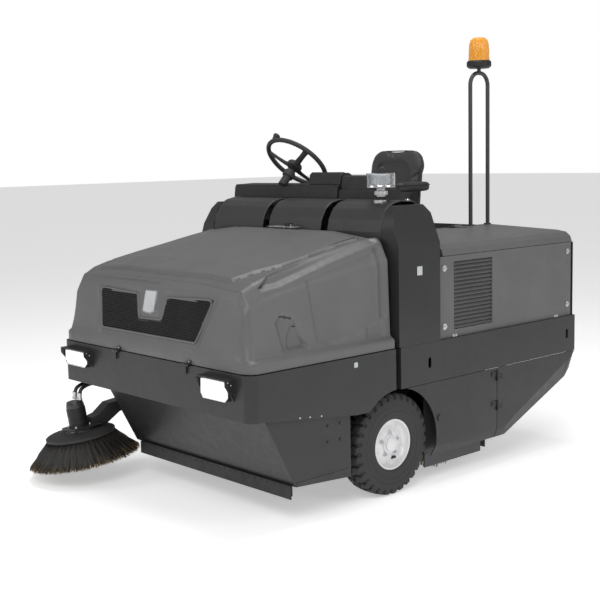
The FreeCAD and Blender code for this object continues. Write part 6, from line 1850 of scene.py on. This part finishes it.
    def pads(self) -> None:
        """Makes ribbed rubber pads on both pedals."""
        for node in ("drive_pedal", "brake_pedal"):
            low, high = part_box(node)
            shape = Shape(node + "_pad", SEAL_RUBBER)
            for n in range(5):
                x = low.x + (high.x - low.x) * (n + 0.7) / 5.4
                shape.block(Vector((x, low.y + 0.004, high.z - 0.010)),
                            Vector((x + 0.006, low.y + 0.020, high.z - 0.0005)), 0.001)
            shape.done(node)


@dataclass
class TopFittings:
    """The beacon on its mast and the air intake with its clear bowl."""

    dome_radius: float = 0.0588
    ribs: int = 36

    def build(self) -> None:
        """Makes the mast, beacon and intake."""
        soften("beacon_mast", "chassis", FRAME_PAINT, 0.001)
        self.dome()
        dress("beacon_reflector", CHROME)
        self.intake()

    def dome(self) -> None:
        """Makes the ribbed amber dome."""
        low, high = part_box("beacon_dome")
        place = Matrix.Translation(Vector(((low.x + high.x) / 2, (low.y + high.y) / 2, low.z)))
        tall = high.z - low.z
        r = self.dome_radius
        profile = [(r, 0.0), (r, 0.006), (r - 0.003, 0.008), (r - 0.004, tall * 0.45), (r - 0.007, tall * 0.72),
                   (r - 0.014, tall * 0.88),
                   (r - 0.027, tall * 0.975), (0.012, tall - 0.0005)]
        rows = []
        for radius, z in profile:
            row = []
            for n in range(216):
                angle = math.tau * n / 216
                rib = 0.0011 * math.cos(self.ribs * angle) if 0.007 < z < tall * 0.9 else 0.0
                row.append(place @ Vector(((radius - 0.0011 + rib) * math.cos(angle),
                                           (radius - 0.0011 + rib) * math.sin(angle), z)))
            rows.append(row)
        shape = Shape("beacon_lens", AMBER)
        outer = shape.grid(rows, closed=True)
        shape.cap(outer[-1])
        lining = [(max(0.006, a - 0.005), min(b, tall - 0.004)) for a, b in profile]
        inner = shape.grid(round_rows(place, lining, 72), closed=True)
        shape.cap(inner[-1])
        shape.done("chassis", ("beacon_dome",), crease=50)

    def intake(self) -> None:
        """Makes the pipe, clamp, bowl with its core and the lid with a wing nut."""
        place = Matrix.Translation(at(505.0, 120.0, 0.0))
        soften("air_pipe", "chassis", ZINC, 0.0012)
        low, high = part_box("air_bowl")
        bowl = Shape("intake_bowl", CLEAR)
        wall = [(0.022, low.z + 0.0006), (0.056, low.z + 0.0006), (0.0635, low.z + 0.004), (0.0655, low.z + 0.010),
                (0.0655, high.z - 0.0006),
                (0.0625, high.z - 0.0006), (0.0625, low.z + 0.011), (0.058, low.z + 0.0045), (0.022, low.z + 0.004)]
        bowl.grid(round_rows(place, wall, 96), closed=True, wrap=True)
        bowl.done("chassis", ("air_bowl",), crease=50)
        low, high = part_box("air_lid")
        lid = Shape("intake_lid", CHROME, GRIP)
        lid.turn([(0.0655, low.z + 0.0004), (0.0658, low.z + 0.009), (0.062, low.z + 0.0125), (0.030, low.z + 0.0145),
                  (0.012, low.z + 0.0155)],
                 place, 64)
        lid.turn([(0.0085, low.z + 0.015), (0.0085, high.z - 0.003), (0.006, high.z - 0.0005)], place, 24, 1)
        for side in (-1, 1):
            lid.block(place @ Vector((-0.0025, min(side * 0.004, side * 0.018), low.z + 0.0165)),
                      place @ Vector((0.0025, max(side * 0.004, side * 0.018), high.z - 0.001)), 0.0012, 1)
        lid.done("chassis", ("air_lid",), crease=50)
        clamp = Shape("intake_core", COVER_BLACK, ZINC, LABEL_BLANK)
        clamp.turn([(0.0435, 1.383), (0.0435, 1.440), (0.041, 1.443), (0.004, 1.443)], place, 48, 2)
        clamp.turn([(0.0345, 1.3255), (0.0345, 1.334), (0.030, 1.338), (0.024, 1.340)], place, 40)
        clamp.turn([(0.0305, 1.348), (0.0315, 1.349), (0.0315, 1.366), (0.0305, 1.367)], place, 40, 1)
        clamp.done("chassis")


# ---- studio -----------------------------------------------------------------------------------------
@dataclass
class Studio:
    """A pale floor, soft lamps and the camera."""

    floor_half: float = 60.0
    eye: tuple[float, float, float] = (4.11055, -3.71619, 1.5323)
    yaw: float = 47.850
    pitch: float = 7.385
    roll: float = -1.2748
    lens: float = 66.71
    backdrop: Colour = (0.95, 0.95, 0.95)
    surround: float = 0.33

    def build(self) -> None:
        """Makes the stage."""
        self.floor()
        self.world()
        self.lamp("key", (3.4, -4.2, 4.6), 3.4, 150.0)
        self.lamp("side", (5.4, 1.6, 3.2), 3.2, 60.0)
        self.lamp("front", (-2.6, -4.6, 3.0), 3.0, 40.0)
        self.lamp("above", (0.2, 0.4, 5.6), 3.0, 120.0)
        self.camera()

    def floor(self) -> None:
        """Makes a plain floor under the wheels."""
        data = bpy.data.meshes.new("floor")
        h = self.floor_half
        data.from_pydata([(-h, -h, 0), (h, -h, 0), (h, h, 0), (-h, h, 0)], [], [(0, 1, 2, 3)])
        piece = placed("floor", data)
        graph = Graph("floor_pale")
        shader = graph.add("BsdfPrincipled",
                           {"Roughness": 0.75, "Metallic": 0.0, "Emission Color": (1.0, 1.0, 1.0, 1.0),
                                              "Emission Strength": 0.42})
        graph.join(graph.ramp(graph.noise(1.5, 3.0), 0.3, 0.7, 0.92, 0.94), shader.inputs["Base Color"])
        graph.join(shader.outputs[0], graph.output.inputs[0])
        data.materials.append(graph.material)

    def world(self) -> None:
        """Makes an even pale surround."""
        world = bpy.data.worlds.new("studio")
        bpy.context.scene.world = world
        world.use_nodes = True
        back = world.node_tree.nodes["Background"]
        back.inputs["Color"].default_value = (*self.backdrop, 1)
        back.inputs["Strength"].default_value = self.surround
        tree = world.node_tree
        seen = tree.nodes.new("ShaderNodeBackground")
        seen.inputs["Color"].default_value = (1.0, 1.0, 1.0, 1)
        path, mixed = tree.nodes.new("ShaderNodeLightPath"), tree.nodes.new("ShaderNodeMixShader")
        tree.links.new(path.outputs["Is Camera Ray"], mixed.inputs[0])
        tree.links.new(back.outputs[0], mixed.inputs[1])
        tree.links.new(seen.outputs[0], mixed.inputs[2])
        tree.links.new(mixed.outputs[0], tree.nodes["World Output"].inputs["Surface"])
        bpy.context.scene.view_settings.view_transform = "Standard"

    def lamp(self, name: str, where: Point, size: float, watts: float) -> None:
        """Makes a large soft lamp that faces the machine's middle."""
        light = bpy.data.lights.new(name, "AREA")
        light.shape, light.size, light.energy = "DISK", size, watts
        piece = placed(name, light)
        low, high = Vector(CAD_BOX[0]), Vector(CAD_BOX[1])
        middle = (low + high) / 2
        piece.location = Vector(where)
        piece.rotation_euler = (middle - piece.location).to_track_quat("-Z", "Y").to_euler()

    def camera(self) -> None:
        """Sets the camera low at the machine's front left corner."""
        yaw, pitch, roll = (math.radians(a) for a in (self.yaw, self.pitch, self.roll))
        ahead = Vector((-math.sin(yaw) * math.cos(pitch), math.cos(yaw) * math.cos(pitch), -math.sin(pitch)))
        right = ahead.cross(UP).normalized()
        up = right.cross(ahead)
        turned = right * math.cos(roll) + up * math.sin(roll)
        raised = up * math.cos(roll) - right * math.sin(roll)
        data = bpy.data.cameras.new("camera")
        data.sensor_width, data.lens, data.clip_end = 36.0, self.lens, 200.0
        piece = bpy.data.objects.new("camera", data)
        piece.matrix_world = Matrix.Translation(self.eye) @ Matrix((turned, raised, -ahead)).transposed().to_4x4()
        bpy.context.scene.collection.objects.link(piece)
        bpy.context.scene.camera = piece


def main() -> None:
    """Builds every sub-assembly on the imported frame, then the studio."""
    logging.basicConfig(level=logging.INFO, format="%(name)s %(message)s")
    random.seed(11)
    parts = (Hood(), Grille(), Bumper(), Hopper(), Bodywork(), Wheel("left"), Wheel("right"), DriveWheel(),
             SideBrush(), MainBrush(), Cab(), TopFittings(), Studio())
    for part in parts:
        log.info("building %s", type(part).__name__)
        part.build()


if __name__ == "__main__":
    main()
